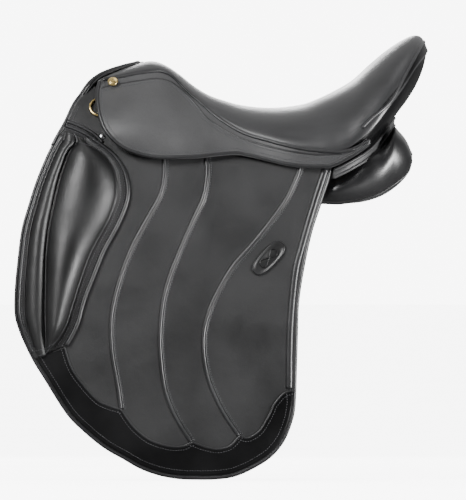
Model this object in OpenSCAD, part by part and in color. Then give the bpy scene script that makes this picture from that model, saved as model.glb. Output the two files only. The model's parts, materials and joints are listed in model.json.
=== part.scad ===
// Dressage-cut english saddle, built as separate layers of leather, wood, steel and flocking.
// +X runs to the cantle (rear), -Y is the near (left) side, +Z is up.
// The origin lies on the centre plane where the panel bears on the horse's back.

/* [Seat] */
// Height of the seat above the bearing plane, at its lowest point
seat_low_z = 136; // [130:1:140]
// Rise of the cantle above the lowest point of the seat
cantle_rise = 101; // [95:1:104]
// Thickness of the seat leather
seat_leather = 3; // [2:0.5:3]

/* [Flaps] */
// Half width of the saddle at the front end of the flap fold
fold_y_front = 100; // [99:1:103]
// Sideways flare of the flap from fold to hem
flare = 75; // [65:1:80]
// Thickness of the flap leather
flap_t = 5; // [4:0.5:5]
// Thickness of the skirt leather
skirt_t = 3.6; // [3:0.2:3.6]
// Gap that the skirt leaves over the flap
skirt_gap = 6; // [6:0.5:7]
// Height of the knee block above its base
block_h = 19; // [14:1:20]

/* [Panel] */
// Half width of the gullet channel
gullet_half = 36; // [33:1:38]
// Thickness of the sweat flap leather
sweat_t = 3; // [2.5:0.5:3]

/* [Girth straps] */
// Width of a girth strap
strap_w = 28; // [25:1:28]
// Thickness of a girth strap
strap_t = 4.5; // [4:0.5:4.5]
// Lowest point of a girth strap
strap_tip_z = -335; // [-345:1:-300]
// Radius of a buckle hole in a girth strap
hole_r = 2.5; // [2:0.1:3]
// Distance between buckle holes
hole_pitch = 28; // [25:1:30]
// Number of buckle holes in each girth strap
hole_count = 6; // [3:1:7]

/* [Metalwork] */
// Length of the stirrup bar
bar_len = 72; // [60:1:74]
// Depth of the stirrup bar
bar_h = 9; // [7:1:10]
// Thickness of the stirrup bar
bar_t = 6; // [5:0.5:6]
// Wire radius of the front ring
ring_wire = 1.8; // [1.5:0.1:1.9]
// Radius of the front ring at the middle of its wire
ring_r = 13.2; // [12:0.2:14]

/* [Hidden] */
SIDED = [
  "skirt", "skirt_welt", "flap_head", "sweat_flap", "panel", "point_pocket", "stirrup_bar",
  "ring_staple", "girth_webbing", "skirt_lobe", "bar_catch", "front_ring", "flap", "knee_block_base",
  "knee_block", "hem_guard", "flap_patch", "point_billet", "rear_billet", "spring"
];
CENTRAL = [
  "tree_frame", "tree_head", "head_plate", "gullet_plate", "arch_lining", "seat_webbing",
  "seat_foam", "seat_cover", "cantle_back", "panel_band", "gullet_lining", "front_welt",
  "head_nails", "flap_screws", "bar_rivets", "catch_pins", "billet_rivets"
];

black = [0.09, 0.09, 0.095];
patent = [0.04, 0.04, 0.045];
tan_leather = [0.45, 0.3, 0.18];
gap = 0.4;

// ---- curves ---------------------------------------------------------------

function seg(p, x) = max([0, for (i = [0:len(p) - 2]) if (x >= p[i][0]) i]);
function slope(p, i) = let (a = max(i - 1, 0), b = min(i + 1, len(p) - 1))
  (p[b][1] - p[a][1]) / (p[b][0] - p[a][0]);
// Height of a smooth curve through the points p, at x; level slopes are held past its ends.
function at(p, x) =
  let (c = min(max(x, p[0][0]), p[len(p) - 1][0]), i = min(seg(p, c), len(p) - 2),
       w = p[i + 1][0] - p[i][0], t = (c - p[i][0]) / w)
  (2 * t^3 - 3 * t^2 + 1) * p[i][1] + (t^3 - 2 * t^2 + t) * w * slope(p, i)
  + (3 * t^2 - 2 * t^3) * p[i + 1][1] + (t^3 - t^2) * w * slope(p, i + 1);
function lerp(a, b, t) = a + (b - a) * t;
function unit(v) = v / norm(v);
function steps(a, b, n) = [for (i = [0:n]) lerp(a, b, i / n)];
// Steps from a to b that crowd together at b.
function ease(a, b, n) = [for (i = [0:n]) lerp(a, b, sin(90 * i / n))];
function super(c) = sign(c) * pow(abs(c), 0.87);

// Seat: centre line of the top, edge of the seat, and foam depth, along X.
seat_top = [
  [-190, 182], [-130, 199], [-115, 201], [-98, 196], [-78, 183], [-58, 167], [-38, 154.5],
  [-18, 147], [10, 139.5], [50, seat_low_z], [92, seat_low_z + 4.5], [116, seat_low_z + 13],
  [140, seat_low_z + 24.5], [164, seat_low_z + 39], [187, seat_low_z + 60],
  [211, seat_low_z + 80], [234, seat_low_z + 95], [251, seat_low_z + cantle_rise],
  [262, seat_low_z + cantle_rise - 5], [268, seat_low_z + cantle_rise - 22]
];
seat_rim = [
  [-192, 173], [-108, 187.5], [-89, 181], [-68, 160.5], [-48, 143], [-25, 123], [10, 101.5],
  [46, 90], [83, 80.5], [116, 76], [150, 78], [177, 96], [190, 108], [210, 133],
  [234, 165], [253, 195], [268, 214]
];
foam_depth = [[-190, 9], [-115, 12], [-50, 20], [20, 30], [120, 34], [200, 36], [268, 20]];
seat_end = 268;
cantle_x = 150;

// Flap: front and rear edges as X over Z, and the fold that the flap lifts about.
flap_front = [
  [-380, -62], [-376, -98], [-365, -131], [-336, -182], [-290, -233], [-240, -265],
  [-192, -291.5], [-160, -303], [-120, -305.5], [-60, -300], [0, -286], [63, -263],
  [90, -250], [115, -236], [142, -223], [157, -211], [173, -192]
];
flap_rear = [
  [-380, -44], [-376, -4], [-365, 24], [-349, 49], [-328, 67], [-300, 78], [-270, 83],
  [-174, 86.5], [-136, 88], [-88, 95], [-41, 105], [0, 118], [50, 136]
];
hem_z = [
  [-287, -200], [-265, -238], [-233, -289], [-208, -315], [-182, -336], [-156, -352],
  [-130, -365], [-98, -376], [-54, -379.6], [-4, -376], [24, -365], [49, -349], [66, -328],
  [76, -300], [81, -268]
];
fold_x_front = -250;
fold_z_front = 82;
fold_x_rear = 136;
fold_slope = -0.1036;
fold_spread = 0.086;
flare_len = 300;
waist = [
  [-250, 0.9], [-186, 0.92], [-108, 0.9], [-49, 1.56], [-25, 1.9], [10, 1.7], [46, 1],
  [83, 0.4], [116, 0.05], [151, 0], [190, 0.2]
];
function fold_z(x) = fold_z_front + fold_slope * (x - fold_x_front);
function fold_y(x) = fold_y_front + fold_spread * (x - fold_x_front);
// Half width of the inner face of the flap: every side layer is offset from this surface.
function side_y(x, z) = let (d = z - fold_z(x))
  fold_y(x) + (d < 0 ? flare * (1 - exp(d / flare_len))
                     : -(0.25 * d + 0.0026 * d^2) * at(waist, x));

// Skirt: its lower edge, its fold, and the bulge it makes over the stirrup bar.
skirt_low = [
  [-193.5, 150], [-192, 137], [-189, 122], [-182, 103], [-170, 86], [-151, 74], [-130, 66.5],
  [-100, 62.5], [-58, 64.5], [-3, 70], [46, 61.5], [97, 52], [126, 52], [151, 61],
  [175, 75], [187, 84]
];
skirt_fold_front = [-190, 165];
skirt_fold_rear = [20, 82];
bar_x = -128;
bar_z = 107;
ring_x = -188;
ring_z = 144.5;
bar_bulge = 17;
function skirt_fold_z(x) = lerp(skirt_fold_front[1], skirt_fold_rear[1],
  (x - skirt_fold_front[0]) / (skirt_fold_rear[0] - skirt_fold_front[0]));
function skirt_y(x, z) = side_y(x, z) + flap_t + skirt_gap
  + bar_bulge * exp(-((x - bar_x - 4) / 85)^2 - ((z - bar_z) / 40)^2)
  + 2.5 * exp(-((x - ring_x) / 18)^2 - ((z - ring_z) / 22)^2);

// Seat in plan and section.
rim_max = skirt_y(cantle_x, at(seat_rim, cantle_x));
function seat_w(x) = x < cantle_x ? skirt_y(x, at(seat_rim, x))
  : rim_max * pow(max(1 - pow((x - cantle_x) / (seat_end - cantle_x), 2.3), 0), 1 / 2.3);
function seat_z(x, t) = lerp(at(seat_rim, x), at(seat_top, x),
  pow(max(1 - pow(abs(t), 2.4), 0), 0.625));
function foam_z(x, t) = seat_z(x, t) - seat_leather - 4 - at(foam_depth, x) * (1 - t^4);
tree_t = 12;
web_t = 2;
web_gap = 1.2;
function tree_top_z(x, t) = foam_z(x, t) - web_t - 3 * web_gap;
function tree_low_z(x, y) = tree_top_z(x, min(abs(y) / seat_w(x), 1)) - tree_t;
// The front of the seat is cut back in the middle.
function cut_back(t) = -130 - 60 * pow(abs(t), 1.6);

// Rear band, where the panel meets the cantle.
band_top = [[132, 46], [160, 60], [188, 78], [206, 99], [221, 122]];
band_x = 132;
band_reach = 89;

// ---- solids from grids and loops -------------------------------------------

function cell(a, b, c, d) = [[a, b, c], [a, c, d]];
function grid_faces(m, n) = let (k = m * n) [
  for (i = [0:m - 2], j = [0:n - 2])
    each cell(i * n + j, i * n + j + 1, (i + 1) * n + j + 1, (i + 1) * n + j),
  for (i = [0:m - 2], j = [0:n - 2])
    each cell(k + i * n + j, k + (i + 1) * n + j, k + (i + 1) * n + j + 1, k + i * n + j + 1),
  for (j = [0:n - 2]) each cell(j + 1, j, k + j, k + j + 1),
  for (j = [0:n - 2], r = [(m - 1) * n])
    each cell(r + j, r + j + 1, k + r + j + 1, k + r + j),
  for (i = [0:m - 2]) each cell(i * n, (i + 1) * n, k + (i + 1) * n, k + i * n),
  for (i = [0:m - 2], r = [n - 1])
    each cell((i + 1) * n + r, i * n + r, k + i * n + r, k + (i + 1) * n + r)
];
// A closed solid between two faces of the same grid of points.
module slab(face, back) {
  m = len(face);
  n = len(face[0]);
  polyhedron(points = [each each face, each each back], faces = grid_faces(m, n));
}
// A leather layer on the near side: a grid of [x, z], with its inner and outer offsets from side_y.
module layer(grid, inner, outer) {
  slab([for (r = grid) [for (p = r) [p[0], -(side_y(p[0], p[1]) + outer), p[1]]]],
       [for (r = grid) [for (p = r) [p[0], -(side_y(p[0], p[1]) + inner), p[1]]]]);
}
// Columns of points at each x of xs, from the curve top down to the curve low; rows run downwards.
function columns(xs, top, low, n) = [for (k = [0:n]) [for (i = [0:len(xs) - 1])
  [xs[i], lerp(top[i], low[i], k / n)]]];
// A closed solid through loops of points; ring = true joins the last loop to the first.
module skin(loops, ring = false) {
  m = len(loops);
  n = len(loops[0]);
  ends = ring ? [] : [loops[0], loops[m - 1]];
  centres = [for (e = ends) [for (k = [0:2]) sum([for (p = e) p[k]]) / n]];
  polyhedron(points = concat([each each loops], centres), faces = [
    for (i = [0:m - (ring ? 1 : 2)], j = [0:n - 1]) let (u = (i + 1) % m, v = (j + 1) % n)
      each cell(i * n + j, i * n + v, u * n + v, u * n + j),
    if (!ring) each [for (j = [0:n - 1]) [(j + 1) % n, j, m * n]],
    if (!ring) each [for (j = [0:n - 1]) [(m - 1) * n + j, (m - 1) * n + (j + 1) % n, m * n + 1]]
  ]);
}
function sum(v) = [for (a = 0, i = 0; i <= len(v); a = a + (i < len(v) ? v[i] : 0), i = i + 1) a][len(v)];
// A round cord of radius r along points that all have the same sideways direction up.
function tube_loops(path, r, up, n = 8) = [for (i = [0:len(path) - 1])
  let (d = unit(path[min(i + 1, len(path) - 1)] - path[max(i - 1, 0)]),
       a = unit(cross(d, up)), b = cross(d, a))
  [for (k = [0:n - 1]) path[i] + r * (cos(360 * k / n) * a - sin(360 * k / n) * b)]];
module tube(path, r, up, n = 8) skin(tube_loops(path, r, up, n));
// Turns +Z to the direction v.
module aim(v) rotate([0, acos(v[2] / norm(v)), atan2(v[1], v[0])]) children();
// Draws the near side, or its mirror image on the off side.
module on_side(s) { if (s == "left_") children(); else mirror([0, 1, 0]) children(); }

// ---- seat -------------------------------------------------------------------

seat_ts = [-1, -0.97, -0.9, -0.78, -0.62, -0.42, -0.2, 0, 0.2, 0.42, 0.62, 0.78, 0.9, 0.97, 1];
function seat_grid(front, end, ts, n, drop) = [for (s = ease(0, 1, n)) [for (t = ts)
  let (x = lerp(cut_back(t) + front, end, s)) [x, seat_w(x) * t, seat_z(x, t) - drop]]];

module seat_cover() {
  color(black)
  slab(seat_grid(0, seat_end - 0.6, seat_ts, 34, 0),
       seat_grid(0, seat_end - 0.6, seat_ts, 34, seat_leather));
}

module seat_foam() {
  ts = [-0.94, -0.8, -0.55, -0.28, 0, 0.28, 0.55, 0.8, 0.94];
  grid = seat_grid(14, 252, ts, 24, seat_leather + 2);
  color([0.82, 0.78, 0.62])
  slab(grid, [for (r = grid) [for (p = r) [p[0], p[1], foam_z(p[0], p[1] / seat_w(p[0]))]]]);
}

// Webs laid across the open middle of the tree.
module seat_webbing() {
  half = 12;
  color([0.86, 0.82, 0.7])
  for (xc = [-50:38:102]) {
    grid = [for (x = [xc - half, xc, xc + half]) [for (t = steps(-0.62, 0.62, 8))
      [x, seat_w(x) * t, foam_z(x, t) - web_gap]]];
    slab(grid, [for (r = grid) [for (p = r) p - [0, 0, web_t]]]);
  }
}

// Laminated rails that join the pommel to the cantle round an open middle.
module tree_frame() {
  function outer_x(a) = 55 - 174 * cos(a);
  function outer_y(a) = 0.86 * seat_w(outer_x(a)) * sign(sin(a)) * pow(abs(sin(a)), 0.45);
  function inner_x(a) = 34 - 104 * cos(a);
  function inner_y(a) = (40 - 14 * cos(a)) * sin(a);
  function corner(a, k, drop) = let (x = lerp(inner_x(a), outer_x(a), k), y = lerp(inner_y(a), outer_y(a), k))
    [x, y, tree_top_z(x, min(abs(y) / seat_w(x), 1)) - drop];
  ks = [0.02, 0.35, 0.7, 1];
  color([0.72, 0.53, 0.32])
  skin([for (a = [0:7.5:352.5]) concat([for (k = ks) corner(a, k, 0)],
    [for (k = [3:-1:0]) corner(a, ks[k], tree_t)])], ring = true);
}

// Steel strips under the rails that give the tree its spring.
module spring() {
  half = 9;
  xs = steps(-62, 140, 14);
  function strip(drop) = [for (x = xs) [for (k = [1, 0, -1]) let (y = 0.58 * seat_w(x) + k * half)
    [x, -y, tree_low_z(x, y) - drop]]];
  color([0.35, 0.38, 0.42]) slab(strip(gap), strip(gap + 1.4));
}

// Leather on the rear of the cantle, from the band up to the edge of the seat.
module cantle_back() {
  function low(a) = let (x = band_x + band_reach * super(cos(a)))
    [x, (rim_max - 7) * super(sin(a)), at(band_top, x) + 1];
  function high(a) = let (x = cantle_x + (seat_end - cantle_x - 2) * super(cos(a)))
    [x, (rim_max - 2) * super(sin(a)), at(seat_rim, x) - 4];
  function face(inset) = [for (k = [1, 0.66, 0.33, 0]) [for (a = steps(-62, 62, 20))
    let (p = lerp(low(a), high(a), k), c = [cantle_x - 20, 0, p[2]])
    p - inset * unit(p - c)]];
  color(black) slab(face(1.5), face(4));
}

// Narrow band round the cantle that covers the nails of the panel.
module panel_band() {
  function rim(a, drop, inset) = let (x = band_x + (band_reach - inset) * super(cos(a)),
    y = (rim_max - 7 - inset) * super(sin(a))) [x, y, at(band_top, x) - drop];
  color(black)
  slab([for (d = [0, 4, 8, 11]) [for (a = steps(-88, 88, 28)) rim(a, d, 0.8)]],
       [for (d = [0, 4, 8, 11]) [for (a = steps(-88, 88, 28)) rim(a, d, 4)]]);
}

// ---- head of the tree -------------------------------------------------------

head_tilt = 25;
head_x = -112;
head_top_z = 160;
leg_angle = 27;
leg_len = 112;
arch_r = 40;
function arch_side(r, s) = [for (a = steps(leg_angle, 90, 8)) [s * r * cos(a), r * sin(a)]];
function arch_leg(r, s, len) = [s * (r * cos(leg_angle) + len * sin(leg_angle)),
  r * sin(leg_angle) - len * cos(leg_angle)];
// An inverted U between two radii, as deep as width along X.
module arch(r_in, r_out, width, len) {
  out = concat([arch_leg(r_out, 1, len)], arch_side(r_out, 1),
    [for (i = [7:-1:0]) arch_side(r_out, -1)[i]], [arch_leg(r_out, -1, len)]);
  in = concat([arch_leg(r_in, -1, len)], arch_side(r_in, -1),
    [for (i = [7:-1:0]) arch_side(r_in, 1)[i]], [arch_leg(r_in, 1, len)]);
  translate([head_x, 0, head_top_z]) rotate([0, head_tilt, 0]) translate([-width / 2, 0, -arch_r])
  rotate([90, 0, 90]) linear_extrude(width) polygon(concat(out, in));
}

module head_plate() { color([0.3, 0.32, 0.35]) arch(arch_r - 3, arch_r, 30, leg_len - 32); }
module tree_head() { color([0.72, 0.53, 0.32]) arch(arch_r - 12, arch_r - 3 - gap, 36, leg_len); }
module gullet_plate() { color([0.3, 0.32, 0.35]) arch(arch_r - 15, arch_r - 12 - gap, 30, leg_len - 32); }
module arch_lining() { color(black) arch(arch_r - 18, arch_r - 15 - gap, 42, leg_len - 34); }

// Leather cup on the panel that each wooden point of the head slides into.
module point_pocket() {
  r = arch_r - 12;
  end = arch_leg(r + 4, -1, leg_len);
  color(black)
  translate([head_x, 0, head_top_z]) rotate([0, head_tilt, 0]) translate([0, 0, -arch_r])
  translate([0, end[0], end[1]]) rotate([-leg_angle, 0, 0]) difference() {
    translate([-23, -10, -5]) cube([46, 20, 33]);
    translate([-19, -6.5, -1]) cube([38, 13, 40]);
  }
}

// ---- skirts -----------------------------------------------------------------

function skirt_slab(g) = [[for (r = g) [for (p = r) [p[0], -(skirt_y(p[0], p[1]) + skirt_t), p[1]]]],
  [for (r = g) [for (p = r) [p[0], -skirt_y(p[0], p[1]), p[1]]]]];

// Upper part of the skirt, sewn to the seat.
module skirt() {
  join = skirt_fold_rear[0];
  xs = concat([-191, -180], steps(-165, join, 14), [join + 2, join + 5], steps(40, 184, 10));
  top = [for (x = xs) at(seat_rim, x) - 4.2 - (x > cantle_x ? (x - cantle_x) * 0.35 : 0)];
  low = [for (x = xs) x < join + 4 ? skirt_fold_z(x) + 0.5 : at(skirt_low, x)];
  s = skirt_slab(columns(xs, top, low, 3));
  color(black) slab(s[0], s[1]);
}

// Lower front part of the skirt, which lifts off the stirrup bar.
module skirt_lobe() {
  xs = concat([-192.2, -190.5, -187, -182, -176], steps(-168, skirt_fold_rear[0] - 1, 16));
  s = skirt_slab(columns(xs, [for (x = xs) skirt_fold_z(x) - 3.6], [for (x = xs) at(skirt_low, x)], 6));
  color(black) slab(s[0], s[1]);
}

// Piping along the seam between seat and skirt.
module skirt_welt() {
  color(black)
  tube([for (x = steps(-180, 146, 32)) [x, -(seat_w(x) + 4.5), at(seat_rim, x) - 1]], 2, [0, 0, 1]);
}

// ---- flaps ------------------------------------------------------------------

flap_top_gap = 6;
function row_z(v, x, low) = lerp(fold_z(x) - flap_top_gap, low, v);
// X where an edge curve crosses the row v, found by repeating.
function edge_x(curve, v, low, n = 4, x = -100) =
  n == 0 ? x : edge_x(curve, v, low, n - 1, at(curve, row_z(v, x, low)));
function flap_grid(front, rear, low, vs, us, inset) = [for (v = vs)
  let (a = edge_x(front, v, low) + inset, b = edge_x(rear, v, low) - inset)
  [for (u = us) let (x = lerp(a, b, u)) [x, row_z(v, x, low)]]];

module flap() {
  color(black)
  layer(flap_grid(flap_front, flap_rear, -379.5, ease(0, 1, 20), steps(0, 1, 12), 0), 0, flap_t);
}

// Upper part of the flap, nailed to the tree.
module flap_head() {
  xs = concat([-248, -242, -236, -229, -222, -212, -202, -194, -186, -180, -174, -168],
    steps(-160, 132, 14));
  top_edge = [
    [-250, 90], [-236, 115], [-223, 141], [-211, 156], [-199, 166], [-190, 164], [-184, 148],
    [-179, 124], [-173, 101], [-166, 97], [-100, 95], [0, 86], [60, 74], [133, 56]
  ];
  color(black)
  layer(columns(xs, [for (x = xs) at(top_edge, x)], [for (x = xs) fold_z(x) - 0.5], 5), 0, flap_t);
}

sweat_out = -9.5;
module sweat_flap() {
  grid = flap_grid(flap_front, flap_rear, -366, ease(0, 1, 12), steps(0, 1, 8), 12);
  color(black) layer(grid, sweat_out - sweat_t, sweat_out);
}

block_rear = [
  [-205, -248], [-192, -228], [-167, -215.5], [-132, -204], [-100, -194.5], [-69, -180.5],
  [-37, -167], [-7, -154], [14, -148.5], [35, -150], [56, -160], [66, -169], [80, -184]
];
block_low = -203;
// Stitched leather base that frames the knee block.
module knee_block_base() {
  color(black)
  layer(flap_grid(flap_front, block_rear, block_low, steps(0, 1, 14), steps(0, 1, 5), 6),
        flap_t + gap, flap_t + 5);
}

// Glossy padded block that steadies the rider's knee.
module knee_block() {
  vs = steps(0.035, 0.95, 14);
  us = steps(0, 1, 8);
  grid = flap_grid(flap_front, block_rear, block_low, vs, us, 17);
  base = flap_t + 5 + gap;
  function bulge(v, u) = 2.5 + block_h * pow(sin(180 * v), 0.55) * pow(sin(180 * u), 0.6);
  color(patent)
  slab([for (i = [0:14]) [for (j = [0:8]) let (p = grid[i][j])
         [p[0], -(side_y(p[0], p[1]) + base + bulge(i / 14, us[j])), p[1]]]],
       [for (r = grid) [for (p = r) [p[0], -(side_y(p[0], p[1]) + base), p[1]]]]);
}

// Scalloped guard of smooth leather along the hem.
scallop = [
  [-280, -209], [-262, -207], [-238, -212], [-230, -226], [-215, -248], [-195, -268], [-175, -281],
  [-159, -285], [-141, -307], [-120, -323], [-92, -334], [-62, -329], [-43, -333], [-25, -339.5],
  [-8, -336], [5, -322], [18, -319], [34, -310], [47, -287], [60, -268], [75, -258], [81, -257]
];
module hem_guard() {
  xs = concat([-276, -268, -258, -248, -238, -230], steps(-222, 62, 34), [68, 73, 77]);
  color(patent)
  layer(columns(xs, [for (x = xs) at(scallop, x)], [for (x = xs) at(hem_z, x) + 4], 2),
        flap_t + gap, flap_t + 2);
}

// Small raised lozenge of leather near the rear edge of the flap.
patch_x = 35;
patch_z = -70;
module flap_patch() {
  dir = unit([0.66, 0.75]);
  side = [dir[1], -dir[0]];
  function spot(u, v) = [patch_x, patch_z] + dir * (23 * u) + side * (11.5 * v * (1 - 0.35 * abs(u)));
  color(patent)
  layer([for (v = [1:-0.5:-1]) [for (u = steps(-1, 1, 6)) spot(u, -v)]], flap_t + gap, flap_t + 3);
}

// ---- panel ------------------------------------------------------------------

panel_top = [
  [-228, 20], [-205, 34], [-183, 36], [-165, 31], [-144, 23], [-134, 32], [-120, 62], [-100, 94],
  [-70, 120], [-40, 130], [60, 110], [130, 96], [190, 98], [212, 91], [226, 100], [241, 84], [247, 66]
];
panel_low = [
  [-228, -30], [-200, -72], [-170, -88], [-120, -90], [-60, -78], [0, -56], [60, -30], [90, -8],
  [110, 3], [150, 2.5], [178, 5], [206, 12], [230, 26], [242, 43], [247, 60]
];
panel_bearing = [
  [-228, 0], [-180, 6], [-100, 16], [0, 20], [100, 12], [150, 4], [178, 6], [206, 13], [230, 27],
  [242, 44], [247, 61]
];
panel_tip = [[-228, 16], [-180, 26], [0, 30], [80, 40], [120, 60], [247, 60]];
panel_size = [
  [-228, 0.35], [-222, 0.7], [-210, 0.9], [-195, 1], [205, 1], [226, 0.93], [238, 0.75], [244, 0.5],
  [247, 0.25]
];
// Half width inside the band round the cantle, which the top of the panel tucks behind.
function band_y(x) = let (c = pow(max(x - band_x, 0) / (band_reach - 4), 1 / 0.87))
  c < 1 ? (rim_max - 11) * super(sqrt(1 - c * c)) : 400;
// One panel section: over the top, down the outer side, round the tip and back to the gullet.
// It leans slightly to the front at its outer side.
function panel_loop(x) =
  let (g = gullet_half, zt = at(panel_top, x), zl = at(panel_low, x), zb = at(panel_bearing, x),
       edge = x > 100 ? rim_max - 12 : 400,
       yo = min(0.84 * seat_w(max(x, -120)), side_y(x, min(zt, 70)) - 16, x < -140 ? 88 : 400,
                band_y(x) - 3),
       shoulder = x > 110 ? at(band_top, x - 2.6) - 13 : 400,
       tip = at(panel_tip, x),
       top = [for (k = [0:4]) let (y = lerp(g, yo, k / 4)) [y, min(zt, tree_low_z(x, y) - 3.5)]],
       z0 = min(top[4][1] - 6, shoulder),
       out = [for (k = [0:5]) let (z = lerp(z0, zl + 8, k / 5))
         [min(side_y(x, z) - 16.6, edge), z]],
       corner = x > 110 ? [yo + 0.5, z0 + 0.5] : lerp(top[4], out[0], 0.5),
       low = [min(side_y(x, zl) - 18, edge - 6), zl],
       back = [for (k = [0:4]) let (t = k / 4, y = lerp(low[0] - tip, g + 8, t))
         [y, lerp(zl, zb, pow(t, 1.25))]],
       loop = concat(top, [corner], out, [low], back, [[g, zb + 8]]),
       c = [sum([for (p = loop) p[0]]), sum([for (p = loop) p[1]])] / len(loop),
       e = at(panel_size, x))
  [for (i = [len(loop) - 1:-1:0]) let (w = c[0] + (loop[i][0] - c[0]) * e) [x - 0.02 * w, -w, loop[i][1]]];
// Wool-flocked cushion that bears on the horse's back.
module panel() {
  color(black)
  skin([for (x = [-228, -224, -216, -204, -190, -170, -152, -144, -136, -120, -100, -80, -60, -40, -20, 0,
    20, 40, 60, 80, 95, 110, 125, 140, 155, 170, 185, 200, 213, 225, 234, 240, 244, 247]) panel_loop(x)]);
}

// Leather ceiling of the gullet, between the two panels.
module gullet_lining() {
  xs = steps(-78, 200, 20);
  function ceiling(drop) = [for (x = xs) [for (y = steps(1 - gullet_half, gullet_half - 1, 6))
    [x, y, min(at(panel_top, x) - 4, tree_low_z(x, y) - 4) - drop]]];
  color(black) slab(ceiling(0), ceiling(2.5));
}

// Rolled edge round the front of the saddle, from fold to fold over the pommel.
module front_welt() {
  path_side = [
    [0, -134, 196], [14, -138, 194.5], [28, -149, 190], [42, -167, 183], [56, -187, 175.5],
    [70, -202, 166.5]
  ];
  function head_point(z) = let (x = at(flap_front, z) + 0.5) [x - 5.5, -(side_y(x, z) + 2.5), z];
  half = concat([for (p = path_side) [p[1] - 4.5, -p[0], p[2]]], [for (z = [152:-8.5:92.5]) head_point(z)]);
  color(black)
  tube(concat([for (i = [len(half) - 1:-1:1]) half[i]], [for (p = half) [p[0], -p[1], p[2]]]),
       3.2, [1, 0, 0.3]);
}

// ---- girth straps -----------------------------------------------------------

strap_in = -8.2;
strap_lift = 3;
strap_lean = 0.0095;
point_x = -98;
rear_x = 22;
function strap_mid(x, d) = let (z = fold_z(x) + d) [x, -(side_y(x, z) + strap_in + strap_t / 2), z];
function strap_pivot(x) = strap_mid(x, strap_lift);
function strap_end(x) = let (z = strap_tip_z, d = z - fold_z(x)) strap_mid(x, d);
fold_dir = unit([1, -fold_spread, fold_slope]);
// Direction of the rivet that a strap swings on: square to the strap and to the fold.
function strap_axis(x) = unit(cross(fold_dir, strap_end(x) - strap_pivot(x)));
// Outward normal of the side surface.
function side_normal(x, z) = unit([
  (side_y(x - 2, z) - side_y(x + 2, z)) / 4, -1, (side_y(x, z - 2) - side_y(x, z + 2)) / 4]);

// A punched girth strap that hangs from its rivet.
module billet(x0) {
  z0 = fold_z(x0) + strap_lift + 14;
  tip = 16;
  zs = concat(steps(z0, strap_tip_z + tip, 22), [strap_tip_z + tip * 0.45, strap_tip_z]);
  function half_w(z) = strap_w / 2 * min(1, lerp(0.45, 1, (z - strap_tip_z) / tip));
  grid = [for (z = zs) [for (k = [-1, 0, 1]) [x0 + k * half_w(z) - strap_lean * (z0 - z), z]]];
  color(tan_leather) difference() {
    layer(grid, strap_in, strap_in + strap_t);
    translate(strap_pivot(x0)) aim(strap_axis(x0)) cylinder(r = 3.05, h = 30, center = true, $fn = 48);
    for (k = [0:hole_count - 1]) let (z = strap_tip_z + 42 + k * hole_pitch, x = x0 - strap_lean * (z0 - z))
      translate([x, -(side_y(x, z) + strap_in + strap_t / 2), z]) aim(side_normal(x, z))
        cylinder(r = hole_r, h = 20, center = true, $fn = 32);
  }
}
module point_billet() { billet(point_x); }
module rear_billet() { billet(rear_x); }

// Canvas that carries the girth straps below the rail of the tree.
module girth_webbing() {
  color([0.86, 0.82, 0.7]) for (x0 = [point_x, rear_x]) difference() {
    layer([for (d = [26, 18, 10, 3, -5]) [for (k = [-1, 0, 1]) [x0 + 16 * k, fold_z(x0 + 16 * k) + d]]],
          strap_in - 4, strap_in - 1.2);
    translate(strap_pivot(x0)) aim(strap_axis(x0)) cylinder(r = 3.05, h = 40, center = true, $fn = 48);
  }
}

module billet_rivets() {
  color([0.8, 0.62, 0.3]) for (s = ["left_", "right_"], x0 = [point_x, rear_x])
    on_side(s) translate(strap_pivot(x0)) aim(-strap_axis(x0)) {
      translate([0, 0, -8]) cylinder(r = 3, h = 11.2, $fn = 48);
      translate([0, 0, 3.2]) cylinder(r = 4.4, h = 0.6, $fn = 48);
      translate([0, 0, -9]) cylinder(r = 5, h = 1, $fn = 48);
    }
}

// ---- metalwork --------------------------------------------------------------

bar_y = side_y(bar_x, bar_z);
bar_front = bar_x - bar_len / 2;
bar_rear = bar_x + bar_len / 2;
bar_in = bar_y + 11.5;
plate_in = bar_y - 8;
plate_t = 4;
catch_x = bar_rear - 3;
ear_t = 1.6;

// Forged bar that the stirrup leather hangs on: a riveted plate, a front neck and a free rear end.
module stirrup_bar() {
  color([0.72, 0.73, 0.75]) difference() {
    union() {
      translate([bar_front - 6, -(plate_in + plate_t), bar_z + 7]) cube([bar_len + 14, plate_t, 17]);
      translate([bar_front - 6, 0, bar_z]) rotate([90, 0, 90]) linear_extrude(10) polygon([
        [-plate_in, 22], [-plate_in - 3, 22], [-bar_in - 1, bar_h / 2], [-bar_in - bar_t, bar_h / 2],
        [-bar_in - bar_t, -bar_h / 2], [-bar_in, -bar_h / 2], [-plate_in, 8]
      ]);
      translate([bar_front - 6, -(bar_in + bar_t), bar_z - bar_h / 2])
        cube([catch_x - bar_front + 6, bar_t, bar_h]);
      translate([catch_x, -bar_in, bar_z]) rotate([90, 0, 0]) cylinder(r = bar_h / 2, h = bar_t, $fn = 48);
    }
    translate([catch_x - 8, -(bar_in + bar_t - ear_t), bar_z - 10]) cube([30, bar_t - 2 * ear_t, 20]);
    translate([catch_x, -bar_in + 5, bar_z]) rotate([90, 0, 0]) cylinder(r = 1.52, h = 20, $fn = 48);
    for (dx = [17, bar_len])
      translate([bar_front - 6 + dx, -plate_in + 5, bar_z + 17.5]) rotate([90, 0, 0])
        cylinder(r = 3.02, h = 20, $fn = 48);
  }
}

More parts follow.
